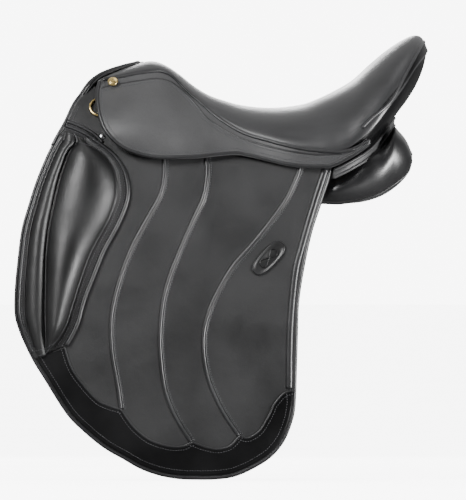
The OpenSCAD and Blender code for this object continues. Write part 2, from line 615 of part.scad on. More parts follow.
// Hinged thumbpiece at the free end of the bar.
module bar_catch() {
  t = bar_t - 2 * ear_t - 0.3;
  color([0.72, 0.73, 0.75])
  translate([catch_x, -(bar_in + ear_t + 0.15), bar_z]) rotate([90, 0, 0]) difference() {
    union() {
      cylinder(r = bar_h / 2 - 0.3, h = t, $fn = 48);
      translate([0, -(bar_h / 2 - 0.3), 0]) cube([10, bar_h - 0.6, t]);
      translate([10, 0, 0]) cylinder(r = bar_h / 2 - 0.3, h = t, $fn = 48);
    }
    translate([0, 0, -5]) cylinder(r = 1.55, h = 20, $fn = 48);
  }
}

module catch_pins() {
  color([0.72, 0.73, 0.75]) for (s = ["left_", "right_"])
    on_side(s) translate([catch_x, -bar_in, bar_z]) rotate([90, 0, 0]) cylinder(r = 1.5, h = bar_t, $fn = 48);
}

// Rivets that hold each bar's plate to the tree.
module bar_rivets() {
  reach = 15;
  color([0.6, 0.61, 0.63]) for (s = ["left_", "right_"], dx = [17, bar_len])
    on_side(s) translate([bar_front - 6 + dx, -(plate_in - reach), bar_z + 17.5]) rotate([90, 0, 0]) {
      cylinder(r = 3, h = reach + plate_t, $fn = 48);
      translate([0, 0, reach + plate_t]) cylinder(r = 5, h = 1.5, $fn = 48);
    }
}

ring_axis = side_normal(ring_x, ring_z);
ring_off = 0.9 * flap_t + 0.35 + ring_wire;
ring_pivot = [ring_x, -side_y(ring_x, ring_z), ring_z] + ring_axis * ring_off;
// Local frame on the flap head: x runs along +X and y points outwards.
module at_ring() {
  translate(ring_pivot) rotate([-atan2(ring_axis[2], -ring_axis[1]), 0, 0])
    rotate([0, 0, asin(ring_axis[0])]) children();
}
// Brass ring that hangs from its staple in front of the skirt.
module front_ring() {
  color([0.83, 0.66, 0.3]) at_ring() translate([0, 0, -ring_r]) rotate([90, 0, 0])
    rotate_extrude($fn = 64) translate([ring_r, 0]) circle(r = ring_wire, $fn = 24);
}
// Staple over the top of the ring.
module ring_staple() {
  inner = 2 * ring_wire + 1.4;
  roof_in = ring_wire + 0.2;
  color([0.83, 0.66, 0.3]) at_ring() for (p = [1, 0, -1])
    if (p == 0) translate([-1.2, -(roof_in + 0.8), -inner / 2 - 1]) cube([2.4, 0.8, inner + 2]);
    else translate([-1.2, -(roof_in + 0.5), p > 0 ? inner / 2 : -inner / 2 - 1])
      cube([2.4, roof_in + 0.5 + ring_wire, 1]);
}

// Domed nail of radius r whose back lies on the near side at [x, z], off millimetres out from side_y.
module dome(x, z, off, r, h) {
  n = side_normal(x, z);
  translate([x, -side_y(x, z), z] + n * off) aim(n) rotate_extrude($fn = 48)
    polygon([[0, 0], [r, 0], [r, h * 0.35], [r * 0.8, h * 0.75], [r * 0.4, h * 0.96], [0, h]]);
}
module head_nails() {
  color([0.86, 0.74, 0.46]) for (s = ["left_", "right_"])
    on_side(s) dome(-168.5, 162, flap_t + skirt_gap + skirt_t + 3.4, 7, 2.6);
}
module flap_screws() {
  color([0.8, 0.8, 0.82]) for (s = ["left_", "right_"]) on_side(s) dome(-184, 93.5, flap_t + 0.6, 3.6, 2.2);
}

// ---- nodes ------------------------------------------------------------------

tree_frame();
tree_head();
head_plate();
gullet_plate();
arch_lining();
seat_webbing();
seat_foam();
seat_cover();
cantle_back();
panel_band();
gullet_lining();
front_welt();
head_nails();
flap_screws();
bar_rivets();
catch_pins();
billet_rivets();
for (s = ["left_", "right_"]) on_side(s) {
  skirt();
  skirt_welt();
  flap_head();
  sweat_flap();
  panel();
  point_pocket();
  stirrup_bar();
  ring_staple();
  girth_webbing();
  skirt_lobe();
  bar_catch();
  front_ring();
  flap();
  knee_block_base();
  knee_block();
  hem_guard();
  flap_patch();
  point_billet();
  rear_billet();
  spring();
}
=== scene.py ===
"""Looks of a dressage saddle: leather, piping, stitching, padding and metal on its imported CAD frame.

Shapes are worked out in millimetres in the frame's own axes: +X to the cantle, -Y the near side, +Z up.
"""
import json
import math

import bpy
import numpy as np
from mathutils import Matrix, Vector


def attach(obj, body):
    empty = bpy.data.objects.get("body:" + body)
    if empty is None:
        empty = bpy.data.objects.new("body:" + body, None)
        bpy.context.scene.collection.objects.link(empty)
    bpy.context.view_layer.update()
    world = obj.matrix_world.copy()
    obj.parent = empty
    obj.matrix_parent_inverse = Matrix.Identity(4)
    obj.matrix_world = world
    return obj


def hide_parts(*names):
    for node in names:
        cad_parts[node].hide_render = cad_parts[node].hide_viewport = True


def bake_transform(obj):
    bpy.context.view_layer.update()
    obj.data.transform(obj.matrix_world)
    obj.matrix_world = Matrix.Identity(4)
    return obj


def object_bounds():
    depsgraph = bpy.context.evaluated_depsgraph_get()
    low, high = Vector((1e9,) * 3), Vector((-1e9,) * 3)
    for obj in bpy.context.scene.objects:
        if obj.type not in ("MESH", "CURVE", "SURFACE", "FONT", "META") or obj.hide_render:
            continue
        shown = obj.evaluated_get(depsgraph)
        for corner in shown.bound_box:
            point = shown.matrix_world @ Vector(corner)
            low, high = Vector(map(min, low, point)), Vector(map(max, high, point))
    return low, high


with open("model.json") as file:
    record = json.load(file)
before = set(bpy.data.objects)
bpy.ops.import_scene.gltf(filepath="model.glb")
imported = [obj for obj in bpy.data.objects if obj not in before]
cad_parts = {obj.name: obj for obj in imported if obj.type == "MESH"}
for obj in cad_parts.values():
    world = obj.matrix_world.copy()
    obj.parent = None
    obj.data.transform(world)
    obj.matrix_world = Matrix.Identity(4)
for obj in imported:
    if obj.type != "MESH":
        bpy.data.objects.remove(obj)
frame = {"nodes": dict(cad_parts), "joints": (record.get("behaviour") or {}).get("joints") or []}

cad_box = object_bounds()
MM = 0.001
SIDES = {"left": -1.0, "right": 1.0}


# ---- curves -----------------------------------------------------------------

# Steps between two given points of a path, before its points are spread evenly.
SPLINE_STEPS = 24


class Curve:
    """A smooth curve through points, read as a height over the first coordinate."""

    def __init__(self, *points):
        p = np.array(sorted(points), float)
        self.x, self.y = p[:, 0], p[:, 1]
        order = np.arange(len(p))
        before, after = np.maximum(order - 1, 0), np.minimum(order + 1, len(p) - 1)
        self.slope = (self.y[after] - self.y[before]) / (self.x[after] - self.x[before])

    def __call__(self, x):
        x = np.clip(x, self.x[0], self.x[-1])
        i = np.clip(np.searchsorted(self.x, x, side="right") - 1, 0, len(self.x) - 2)
        w = self.x[i + 1] - self.x[i]
        t = (x - self.x[i]) / w
        return (
            (2 * t**3 - 3 * t**2 + 1) * self.y[i]
            + (t**3 - 2 * t**2 + t) * w * self.slope[i]
            + (3 * t**2 - 2 * t**3) * self.y[i + 1]
            + (t**3 - t**2) * w * self.slope[i + 1]
        )


def lerp(a, b, t):
    return a + (b - a) * t


def along(points, count=None, spacing=None):
    """Points spread evenly along a smooth path through the given ones."""
    p = np.array(points, float)
    padded = np.vstack([2 * p[0] - p[1], p, 2 * p[-1] - p[-2]])
    t = np.linspace(0, 1, SPLINE_STEPS, endpoint=False)[:, None]
    parts = []
    for a, b, c, d in zip(padded, padded[1:], padded[2:], padded[3:]):
        square, cube = 2 * a - 5 * b + 4 * c - d, 3 * b - a - 3 * c + d
        parts.append(0.5 * (2 * b + (c - a) * t + square * t**2 + cube * t**3))
    dense = np.vstack(parts + [p[-1:]])
    length = np.concatenate([[0], np.cumsum(np.linalg.norm(np.diff(dense, axis=0), axis=1))])
    count = count or max(int(round(length[-1] / spacing)), 2) + 1
    s = np.linspace(0, length[-1], count)
    return np.stack([np.interp(s, length, dense[:, k]) for k in range(p.shape[1])], axis=1)


def inward(path, distance):
    """The path moved sideways in its own plane, to its right as it is followed."""
    d = np.gradient(path, axis=0)
    d /= np.linalg.norm(d, axis=1)[:, None]
    return path + distance * np.stack([d[:, 1], -d[:, 0]], axis=1)


# ---- the saddle's own surfaces ------------------------------------------------

seat_top = Curve(
    (-190, 182), (-130, 199), (-115, 201), (-98, 196), (-78, 183), (-58, 167), (-38, 154.5), (-18, 147),
    (10, 139.5), (50, 136), (92, 140.5), (116, 149), (140, 160.5), (164, 175), (187, 196), (211, 216),
    (234, 231), (251, 237), (262, 232), (268, 215),
)
seat_rim = Curve(
    (-192, 173), (-108, 187.5), (-89, 181), (-68, 160.5), (-48, 143), (-25, 123), (10, 101.5), (46, 90),
    (83, 80.5), (116, 76), (150, 78), (177, 96), (190, 108), (210, 133), (234, 165), (253, 195), (268, 214),
)
crease_z = Curve((177, 106.5), (188, 118), (217, 144), (234, 175), (253, 210), (259, 221), (264, 228.5))
waist = Curve(
    (-250, 0.9), (-186, 0.92), (-108, 0.9), (-49, 1.56), (-25, 1.9), (10, 1.7), (46, 1), (83, 0.4),
    (116, 0.05), (151, 0), (190, 0.2),
)
band_top = Curve((132, 46), (160, 60), (188, 78), (206, 99), (221, 122))
foam_depth = Curve((-190, 9), (-115, 12), (-50, 20), (20, 30), (120, 34), (200, 36), (268, 20))
front_x = Curve(
    (-380, -62), (-376, -98), (-365, -131), (-336, -182), (-290, -233), (-240, -265), (-192, -291.5),
    (-160, -303), (-120, -305.5), (-60, -300), (0, -286), (63, -263), (90, -250), (115, -236), (142, -223),
    (157, -211), (173, -192),
)
rear_x = Curve(
    (-380, -44), (-376, -4), (-365, 24), (-349, 49), (-328, 67), (-300, 78), (-270, 83), (-174, 86.5),
    (-136, 88), (-88, 95), (-41, 105), (0, 118), (50, 136),
)

FOLD_X, FOLD_Y, FOLD_Z = -250.0, 100.0, 82.0
FOLD_SLOPE, FOLD_SPREAD = -0.1036, 0.086
FLARE, FLARE_LENGTH = 75.0, 300.0
FLAP_T, SKIRT_GAP, SKIRT_T = 5.0, 6.0, 3.6
BAR = (-128.0, 107.0)
RING = (-188.0, 144.5)
CANTLE_X, SEAT_END = 150.0, 268.0
# Seat leather's thickness, the drop from its surface to the foam, and from the foam to the tree's underside.
SEAT_T = 3.0
UNDER_COVER, TREE_DEPTH = 7.0, 17.6
BAND_X, BAND_REACH = 132.0, 89.0
GULLET = 36.0
HEAD_X, HEAD_Z, HEAD_TILT, LEG_ANGLE, ARCH_R = -112.0, 160.0, 25.0, 27.0, 40.0


def fold_z(x):
    return FOLD_Z + FOLD_SLOPE * (x - FOLD_X)


def fold_y(x):
    return FOLD_Y + FOLD_SPREAD * (x - FOLD_X)


def side_y(x, z):
    """Half width of the inner face of the flap, which every side layer is offset from."""
    d = z - fold_z(x)
    below = FLARE * (1 - np.exp(np.minimum(d, 0) / FLARE_LENGTH))
    above = (0.25 * d + 0.0026 * d**2) * waist(x)
    return fold_y(x) + np.where(d < 0, below, -above)


def skirt_y(x, z):
    """Half width of the inner face of the skirt, which bulges over the stirrup bar and the ring."""
    over_bar = 17 * np.exp(-(((x - BAR[0] - 4) / 85) ** 2) - ((z - BAR[1]) / 40) ** 2)
    over_ring = 2.5 * np.exp(-(((x - RING[0]) / 18) ** 2) - ((z - RING[1]) / 22) ** 2)
    return side_y(x, z) + FLAP_T + SKIRT_GAP + over_bar + over_ring


# Power of the seat's cross-section, and half the width of the seat where the cantle starts to curve.
CROWN = 2.4
RIM_MAX = float(skirt_y(CANTLE_X, seat_rim(CANTLE_X)))


def seat_w(x):
    """Half width of the seat at its rim."""
    u = np.clip((x - CANTLE_X) / (SEAT_END - CANTLE_X), 0, 1)
    return np.where(x < CANTLE_X, skirt_y(x, seat_rim(x)), RIM_MAX * (1 - u**2.3) ** (1 / 2.3))


def seat_z(x, t):
    """Height of the seat at t of its half width."""
    return lerp(seat_rim(x), seat_top(x), np.maximum(1 - np.abs(t) ** CROWN, 0) ** (1.5 / CROWN))


def cut_back(t):
    """Front edge of the seat at t of its half width."""
    return -130 - 60 * np.abs(t) ** 1.6


# Power that squares the cantle's rounded outline: 1 would leave an ellipse.
OVAL = 0.87


def oval(c, power=OVAL):
    """Cosine or sine of a squared circle."""
    return np.sign(c) * np.abs(c) ** power


def tree_low(x, y):
    """Underside of the tree, which the panels and the gullet lining lie against."""
    t = np.minimum(np.abs(y) / seat_w(x), 1)
    return seat_z(x, t) - UNDER_COVER - foam_depth(x) * (1 - t**4) - TREE_DEPTH


def band_y(x):
    """Half width inside the band round the cantle."""
    c = (np.maximum(x - BAND_X, 0) / (BAND_REACH - 4)) ** (1 / OVAL)
    return np.where(c < 1, (RIM_MAX - 11) * oval(np.sqrt(np.maximum(1 - c * c, 0))), 400.0)


def on_flap(path, lift=0.0):
    """Points [x, z] laid on the outer face of the flap, lift millimetres off it, on the near side."""
    path = np.asarray(path, float)
    x, z = path[..., 0], path[..., 1]
    return np.stack([x, -(side_y(x, z) + FLAP_T + lift), z], axis=-1)


def on_skirt(path, lift=0.0):
    """Points [x, z] laid on the outer face of the skirt, lift millimetres off it, on the near side."""
    path = np.asarray(path, float)
    x, z = path[..., 0], path[..., 1]
    return np.stack([x, -(skirt_y(x, z) + SKIRT_T + lift), z], axis=-1)


# ---- outlines on the side, as [x, z] -------------------------------------------

FRONT_EDGE = [
    (-197, 167), (-211, 156.5), (-223, 142), (-236, 115), (-250, 90), (-263, 63.5), (-277, 28.5),
    (-287.5, -5), (-296, -36), (-302, -85), (-305, -120), (-305, -151), (-300, -171), (-291.5, -192),
]
HEM = [
    (-291.5, -192), (-279, -217), (-265, -239.5), (-233.5, -289), (-208, -315), (-182, -336),
    (-156, -351), (-131, -365), (-105, -374), (-79, -378.6), (-53.5, -379.6), (-28, -379.2),
    (-2, -375.6), (23.5, -365), (49, -349), (67, -328), (78, -302), (83, -277),
]
REAR_EDGE = [
    (83, -277), (85, -225), (86.5, -174), (88, -136), (95, -88.5), (105, -41), (116, -6), (128, 29),
    (134, 50),
]
HIDDEN_TOP = [
    (-197, 167), (-186, 150), (-179, 124), (-172, 103), (-150, 96), (-100, 95), (0, 84), (60, 72), (134, 50),
]
SKIRT_TOP = [
    (-190, 172), (-155, 177.5), (-134, 182.5), (-108, 184.5), (-89, 178), (-69, 158), (-49, 140.5),
    (-25, 120), (10, 98.5), (46, 87), (83, 77.5), (116, 73), (150, 74.5), (172, 82), (187, 90),
]
SKIRT_SEAM = [
    (-186, 163), (-159, 169), (-134, 173), (-112, 176), (-98, 174.5), (-83, 168), (-60, 146.5),
    (-38, 121), (-3, 98), (30, 86), (70, 76), (110, 70), (150, 71),
]
SKIRT_FRONT = [(-190, 172), (-192.5, 162), (-193.5, 150), (-192.3, 137), (-189, 121)]
SKIRT_LOW = [
    (-189, 121), (-182, 104), (-172, 91), (-160, 81), (-144, 73), (-123, 67), (-102, 64.5), (-76, 64.5),
    (-50, 65.5), (-3, 70), (20, 67), (46, 61), (72, 55), (97, 52), (126, 52), (137, 54), (152, 61),
    (171, 72), (187, 84),
]
CHANNELS = [
    [(-99, 74), (-97, 60), (-97, 39), (-103, 12), (-120, -19), (-141, -58), (-157, -99),
     (-168, -140), (-171, -171), (-169, -207), (-161.5, -251), (-157, -283)],
    [(-40, 74), (-38, 60), (-37.5, 40), (-43, 9), (-58, -24), (-77, -68), (-91, -105), (-99.5, -140),
     (-103, -182), (-102, -212), (-96, -256), (-82, -292), (-60, -328)],
    [(92, 54), (88, 41), (74, 10), (55, -18), (29, -51), (-1.5, -86), (-23, -122), (-37, -155),
     (-43, -190), (-37, -237), (-18, -282), (6, -319)],
]
SCALLOPS = [
    [(-281, -207), (-262, -206), (-237, -197)],
    [(-237, -197), (-226, -228), (-208, -253), (-190, -271.5), (-174, -279), (-158, -284)],
    [(-158, -284), (-141, -307.5), (-120, -325), (-95, -334), (-74, -335), (-60, -329)],
    [(-60, -329), (-43, -335), (-25, -338.5), (-7, -334), (6.5, -320)],
    [(6.5, -320), (18, -323), (34, -313), (47, -292), (54, -277), (67, -262), (81, -257)],
]
ROLL_EDGE = [
    (125.5, 50), (114, 15), (102.5, -22.5), (93, -56), (84.5, -88.5), (79, -136), (76, -183), (75, -255),
]

# Knee block: lines that run down it, as X over Z.
block_front = Curve(
    (105, -238), (90, -247), (63, -260), (28, -274), (-5, -284.5), (-36, -293), (-85, -299),
    (-120, -302), (-151, -302), (-171, -297), (-192, -288.5), (-215, -277),
)
block_groove = Curve(
    (104, -226), (88, -219), (75, -229), (50, -239), (31, -245), (0, -252), (-25, -257), (-49, -260),
    (-75, -262), (-150, -263), (-190, -262), (-215, -262),
)
block_rear = Curve(
    (100, -212), (86, -206), (75, -189), (62, -176), (46, -167.5), (25, -164), (6, -166), (-21, -176),
    (-48, -191), (-72, -203), (-105, -215), (-138, -225.5), (-167, -235), (-186, -246), (-205, -262),
)
block_piping = Curve(
    (98, -203), (90, -195), (77, -176), (65, -164), (49, -154), (31, -149), (13, -148), (-6, -153),
    (-31, -164), (-62, -181), (-95, -194.5), (-132, -209), (-167, -219), (-194, -233), (-210, -244),
)
BLOCK_BAND = [(-237, 105), (-225, 101), (-211, 94.5), (-198, 86), (-188, 76)]
BLOCK_TOP = (104.0, 92.0)
BLOCK_LOW = (-214.0, -197.0)
BLOCK_H = 21.0


# ---- meshes --------------------------------------------------------------------


def turned(shape):
    """Points and faces with each face turned over."""
    points, faces = shape
    return points, [f[::-1] for f in faces]


def new_piece(name, shape, material, sign=-1.0):
    """A smooth-shaded mesh from points in millimetres and faces, mirrored for the off side."""
    points, faces = shape
    if sign > 0:
        points, faces = turned((points * [1, -1, 1], faces))
    mesh = bpy.data.meshes.new(name)
    mesh.from_pydata((np.asarray(points, float) * MM).tolist(), [], faces)
    mesh.update()
    mesh.shade_smooth()
    piece = bpy.data.objects.new(name, mesh)
    bpy.context.collection.objects.link(piece)
    mesh.materials.append(material)
    return piece


def quads(rows, columns, start=0, wrap=False, flip=False):
    """Faces between the points of a grid, whose rows are closed loops when wrap is set."""
    faces = []
    for i in range(rows - 1):
        for j in range(columns if wrap else columns - 1):
            k = (j + 1) % columns
            a, b = start + i * columns + j, start + i * columns + k
            c, d = start + (i + 1) * columns + k, start + (i + 1) * columns + j
            faces.append((a, d, c, b) if flip else (a, b, c, d))
    return faces


def coons(top, low, first, last, rows, columns):
    """A grid of points inside four edges; first and last run from top to low."""
    top, low = along(top, columns), along(low, columns)
    first, last = along(first, rows), along(last, rows)
    u, v = np.linspace(0, 1, columns)[None, :, None], np.linspace(0, 1, rows)[:, None, None]
    edges = lerp(top[None], low[None], v) + lerp(first[:, None], last[:, None], u)
    corners = lerp(lerp(top[0], top[-1], u), lerp(low[0], low[-1], u), v)
    return edges - corners


def sheet_mesh(outer, inner, roundness=0.35):
    """Points and faces of leather between two grids of the same size, with rounded edges."""
    rows, columns = outer.shape[:2]
    count = rows * columns
    loop = [(0, j) for j in range(columns)] + [(i, columns - 1) for i in range(1, rows)]
    loop += [(rows - 1, j) for j in range(columns - 2, -1, -1)] + [(i, 0) for i in range(rows - 2, 0, -1)]
    centre = (outer + inner) / 2
    rim = []
    for i, j in loop:
        a = centre[min(max(i, 1), rows - 2), min(max(j, 1), columns - 2)]
        out = centre[i, j] - a
        out /= max(np.linalg.norm(out), 1e-6)
        thick = np.linalg.norm(outer[i, j] - inner[i, j])
        rim.append(centre[i, j] + out * thick * roundness)
    points = np.vstack([outer.reshape(-1, 3), inner.reshape(-1, 3), np.array(rim)])
    faces = quads(rows, columns) + quads(rows, columns, count, flip=True)
    n = len(loop)
    for k in range(n):
        a, b = loop[k], loop[(k + 1) % n]
        ia, ib = a[0] * columns + a[1], b[0] * columns + b[1]
        ra, rb = 2 * count + k, 2 * count + (k + 1) % n
        faces += [(ib, ia, ra, rb), (rb, ra, count + ia, count + ib)]
    return points, faces


def frames(path, up):
    """Directions along, across and above a path; up holds one direction or one for each point."""
    d = np.gradient(path, axis=0)
    d /= np.linalg.norm(d, axis=1)[:, None]
    up = np.broadcast_to(np.asarray(up, float), path.shape)
    across = np.cross(d, up)
    across /= np.linalg.norm(across, axis=1)[:, None]
    return d, across, np.cross(across, d)


def capped(rings):
    """Points and faces of a tube through rings, closed to a point in the middle of each end."""
    n, m = rings.shape[:2]
    points = np.vstack([rings.reshape(-1, 3), rings[0].mean(0)[None], rings[-1].mean(0)[None]])
    faces = quads(n, m, wrap=True)
    faces += [((j + 1) % m, j, n * m) for j in range(m)]
    faces += [((n - 1) * m + j, (n - 1) * m + (j + 1) % m, n * m + 1) for j in range(m)]
    return points, faces


def sweep(path, profile, up):
    """Points and faces of a closed profile, as [across, above], carried along a path."""
    _, across, above = frames(path, up)
    rings = path[:, None] + profile[None, :, :1] * across[:, None] + profile[None, :, 1:] * above[:, None]
    return capped(rings)


def round_profile(width, height, sides=10, drop=0.0):
    a = np.linspace(0, 2 * math.pi, sides, endpoint=False)
    return np.stack([np.cos(a) * width / 2, np.sin(a) * height / 2 - drop], axis=1)


def joined(parts):
    """Several [points, faces] as one."""
    points, faces, start = [], [], 0
    for p, f in parts:
        points.append(p)
        faces += [tuple(i + start for i in face) for face in f]
        start += len(p)
    return np.vstack(points), faces


def outward(path):
    """Outward direction of the near side at each point of a path."""
    x, z = path[:, 0], path[:, 2]
    step = 2.0
    dx = (side_y(x + step, z) - side_y(x - step, z)) / (2 * step)
    dz = (side_y(x, z + step) - side_y(x, z - step)) / (2 * step)
    n = np.stack([-dx, -np.ones_like(x), -dz], axis=1)
    return n / np.linalg.norm(n, axis=1)[:, None]


def cord(path, width, height, sides=10, drop=0.0):
    """A cord that lies along a path on the saddle's side."""
    return sweep(path, round_profile(width, height, sides, drop), outward(path))


STITCH_PITCH, STITCH_LENGTH, STITCH_WIDTH, STITCH_LIFT, STITCH_SIDES = 3.6, 2.7, 0.95, 0.15, 6
# Stations on one stitch, as shares of its half length, its thickness there and its rise in millimetres.
STITCH = [(-1, 0.35, -0.35), (-0.55, 0.9, 0.1), (0, 1.0, 0.2), (0.55, 0.9, 0.1), (1, 0.35, -0.35)]


def stitches(path):
    """A row of sewn stitches along a path: short threads that dip into the leather at both ends."""
    path = along(path, spacing=STITCH_PITCH)
    d, across, above = frames(path, outward(path))
    a = np.linspace(0, 2 * math.pi, STITCH_SIDES, endpoint=False)[:, None]
    points, faces = [], []
    for k in range(len(path)):
        faces += quads(len(STITCH), STITCH_SIDES, len(points) * STITCH_SIDES, wrap=True)
        for share, r, rise in STITCH:
            middle = path[k] + d[k] * (share * STITCH_LENGTH / 2) + above[k] * (STITCH_LIFT + rise)
            width, height = r * STITCH_WIDTH / 2, r * STITCH_WIDTH / 2.6
            points.append(middle + np.cos(a) * width * across[k] + np.sin(a) * height * above[k])
    return np.vstack(points), faces


def stitching(name, rows, sign):
    """One piece of thread for several rows of stitches."""
    return new_piece(name, joined([stitches(row) for row in rows]), THREAD, sign)


# ---- materials --------------------------------------------------------------------


class Nodes:
    """A short way to build one material's nodes."""

    def __init__(self, name):
        self.material = bpy.data.materials.new(name)
        self.material.use_nodes = True
        self.tree = self.material.node_tree
        self.shader = self.tree.nodes["Principled BSDF"]

    def add(self, kind, inputs=(), **settings):
        node = self.tree.nodes.new(kind)
        for key, value in settings.items():
            setattr(node, key, value)
        for key, value in dict(inputs).items():
            self.put(node.inputs[key], value)
        return node

    def put(self, socket, value):
        if isinstance(value, bpy.types.NodeSocket):
            self.tree.links.new(value, socket)
        else:
            socket.default_value = value

    def set(self, **inputs):
        for key, value in inputs.items():
            self.put(self.shader.inputs[key.replace("_", " ")], value)

    def place(self):
        return self.add("ShaderNodeTexCoord").outputs["Object"]

    def noise(self, scale, detail=4.0, stretch=None):
        where = self.place()
        if stretch:
            where = self.add("ShaderNodeMapping", {"Vector": where, "Scale": stretch}).outputs["Vector"]
        inputs = {"Vector": where, "Scale": scale, "Detail": detail}
        return self.add("ShaderNodeTexNoise", inputs).outputs["Fac"]

    def cells(self, scale, feature="DISTANCE_TO_EDGE"):
        inputs = {"Vector": self.place(), "Scale": scale}
        return self.add("ShaderNodeTexVoronoi", inputs, feature=feature).outputs["Distance"]

    def between(self, value, low, high):
        inputs = {"Value": value, "From Min": 0.35, "From Max": 0.65, "To Min": low, "To Max": high}
        return self.add("ShaderNodeMapRange", inputs).outputs["Result"]

    def colours(self, value, dark, light, a=0.3, b=0.7):
        ramp = self.add("ShaderNodeValToRGB", {"Fac": value})
        ramp.color_ramp.elements[0].position = a
        ramp.color_ramp.elements[0].color = (*dark, 1)
        ramp.color_ramp.elements[1].position = b
        ramp.color_ramp.elements[1].color = (*light, 1)
        return ramp.outputs["Color"]

    def bump(self, height, strength, distance, onto=None):
        inputs = {"Height": height, "Strength": strength, "Distance": distance}
        if onto is not None:
            inputs["Normal"] = onto
        return self.add("ShaderNodeBump", inputs).outputs["Normal"]


GRAIN = 900


def leather(name, tone, rough, relief=0.5, coat=0.0, coat_rough=0.25, spread=0.35, gleam=0.5):
    """Dyed leather: pores, fine creases, uneven dye and a finish that varies in gloss."""
    n = Nodes(name)
    blotch = n.noise(14, 3)
    dark = [c * (1 - spread) for c in tone]
    light = [c * (1 + spread) for c in tone]
    mottled = n.colours(blotch, dark, light, 0.32, 0.7)
    fine = n.noise(GRAIN * 0.9, 3)
    tint = n.add("ShaderNodeMix", {"Factor": 0.22}, data_type="RGBA", blend_type="OVERLAY")
    n.put(tint.inputs["A"], mottled)
    n.put(tint.inputs["B"], n.colours(fine, (0.2, 0.2, 0.2), (0.8, 0.8, 0.8), 0.3, 0.7))
    pores = n.bump(n.cells(GRAIN), relief, 0.00022)
    creases = n.bump(n.noise(110, 5), relief * 0.5, 0.0009, pores)
    waves = n.bump(n.noise(26, 2), 0.22, 0.003, creases)
    n.set(Base_Color=tint.outputs["Result"], Normal=waves)
    n.set(Roughness=n.between(blotch, rough - 0.06, rough + 0.07))
    n.set(Coat_Weight=coat, Coat_Roughness=coat_rough, Specular_IOR_Level=gleam)
    return n.material


def thread(name, tone):
    """Waxed thread with its twist."""
    n = Nodes(name)
    twist = n.noise(1500, 2)
    n.set(Base_Color=n.colours(twist, [c * 0.6 for c in tone], tone), Roughness=0.55)
    n.set(Normal=n.bump(twist, 0.6, 0.0003))
    return n.material


def metal(name, tone, rough):
    """Polished metal with faint scratches and handling marks."""
    n = Nodes(name)
    smear = n.noise(60, 4)
    scratch = n.noise(300, 2, stretch=(1, 1, 14))
    n.set(Base_Color=n.colours(smear, [c * 0.85 for c in tone], tone), Metallic=1.0)
    n.set(Roughness=n.between(smear, rough * 0.7, rough * 1.5), Normal=n.bump(scratch, 0.12, 0.0002))
    return n.material


def wood(name):
    """Glued layers of varnished wood."""
    n = Nodes(name)
    layers = n.add("ShaderNodeTexWave", {"Vector": n.place(), "Scale": 160, "Distortion": 3.5, "Detail": 3},
                   bands_direction="Z")
    fibre = n.noise(220, 4, stretch=(0.15, 1, 1))
    n.set(Base_Color=n.colours(layers.outputs["Fac"], (0.42, 0.25, 0.12), (0.66, 0.45, 0.25), 0.2, 0.8))
    n.set(Roughness=n.between(fibre, 0.3, 0.45), Normal=n.bump(fibre, 0.3, 0.0005), Coat_Weight=0.3)
    return n.material


def woven(name, tone):
    """Plain weave of warp and weft."""
    n = Nodes(name)
    warp, weft = [
        n.add("ShaderNodeTexWave", {"Vector": n.place(), "Scale": 420, "Distortion": 0.4},
              bands_direction=direction).outputs["Fac"]
        for direction in "XY"
    ]
    cross = n.add("ShaderNodeMath", {0: warp, 1: weft}, operation="MAXIMUM").outputs["Value"]
    n.set(Base_Color=n.colours(cross, [c * 0.6 for c in tone], tone, 0.2, 0.9), Roughness=0.9)
    n.set(Normal=n.bump(cross, 0.7, 0.0006))
    return n.material


def foam(name, tone):
    """Open-celled foam."""
    n = Nodes(name)
    pits = n.cells(700, "F1")
    n.set(Base_Color=n.colours(pits, [c * 0.7 for c in tone], tone, 0.1, 0.6), Roughness=0.95)
    n.set(Normal=n.bump(pits, 0.6, 0.0006))
    return n.material


FLAP_LEATHER = leather("flap_leather", (0.013, 0.013, 0.0135), 0.47, relief=0.6, spread=0.16)
SKIRT_LEATHER = leather("skirt_leather", (0.042, 0.042, 0.043), 0.46, relief=0.55, spread=0.16)
SEAT_LEATHER = leather("seat_leather", (0.022, 0.022, 0.023), 0.36, relief=0.3, coat=0.15, coat_rough=0.3,
                       spread=0.16)
GLOSS_LEATHER = leather("gloss_leather", (0.006, 0.006, 0.0063), 0.4, relief=0.25, coat=0.1, coat_rough=0.3)
BLOCK_LEATHER = leather("block_leather", (0.009, 0.009, 0.0093), 0.44, relief=0.5, spread=0.25)
# Near-black leather: the hem guard's own tone, and also painted shade on the cantle's rear face and back,
# which turn away from the light.
HEM_LEATHER_AND_SHADE = leather("hem_leather_and_painted_shade", (0.003, 0.003, 0.0033), 0.36, relief=0.2, gleam=0.22)
PANEL_LEATHER = leather("panel_leather", (0.006, 0.006, 0.0065), 0.33, relief=0.18, coat=0.35,
                        coat_rough=0.26)
PIPING_LEATHER = leather("piping_leather", (0.014, 0.014, 0.015), 0.4, relief=0.2, coat=0.1)
STRAP_LEATHER = leather("strap_leather", (0.03, 0.027, 0.025), 0.45, relief=0.6, spread=0.5)
THREAD = thread("waxed_thread", (0.06, 0.06, 0.065))
BRASS = metal("brass", (0.83, 0.62, 0.26), 0.2)
STEEL = metal("stainless_steel", (0.62, 0.62, 0.63), 0.22)
DARK_STEEL = metal("enamelled_steel", (0.09, 0.09, 0.1), 0.4)
LAMINATE = wood("beech_laminate")
CANVAS = woven("canvas", (0.72, 0.66, 0.52))
FOAM = foam("seat_foam", (0.82, 0.77, 0.6))


# ---- seat ------------------------------------------------------------------------


def seat_grid(rows, columns, drop=0.0):
    """Points of the seat, drop millimetres under its surface."""
    t = np.sin(np.linspace(-math.pi / 2, math.pi / 2, columns))[None, :]
    s = np.sin(np.linspace(0, math.pi / 2, rows))[:, None]
    x = lerp(cut_back(t), SEAT_END - 0.6, s)
    return np.stack([x, seat_w(x) * t, seat_z(x, t) - drop], axis=-1)


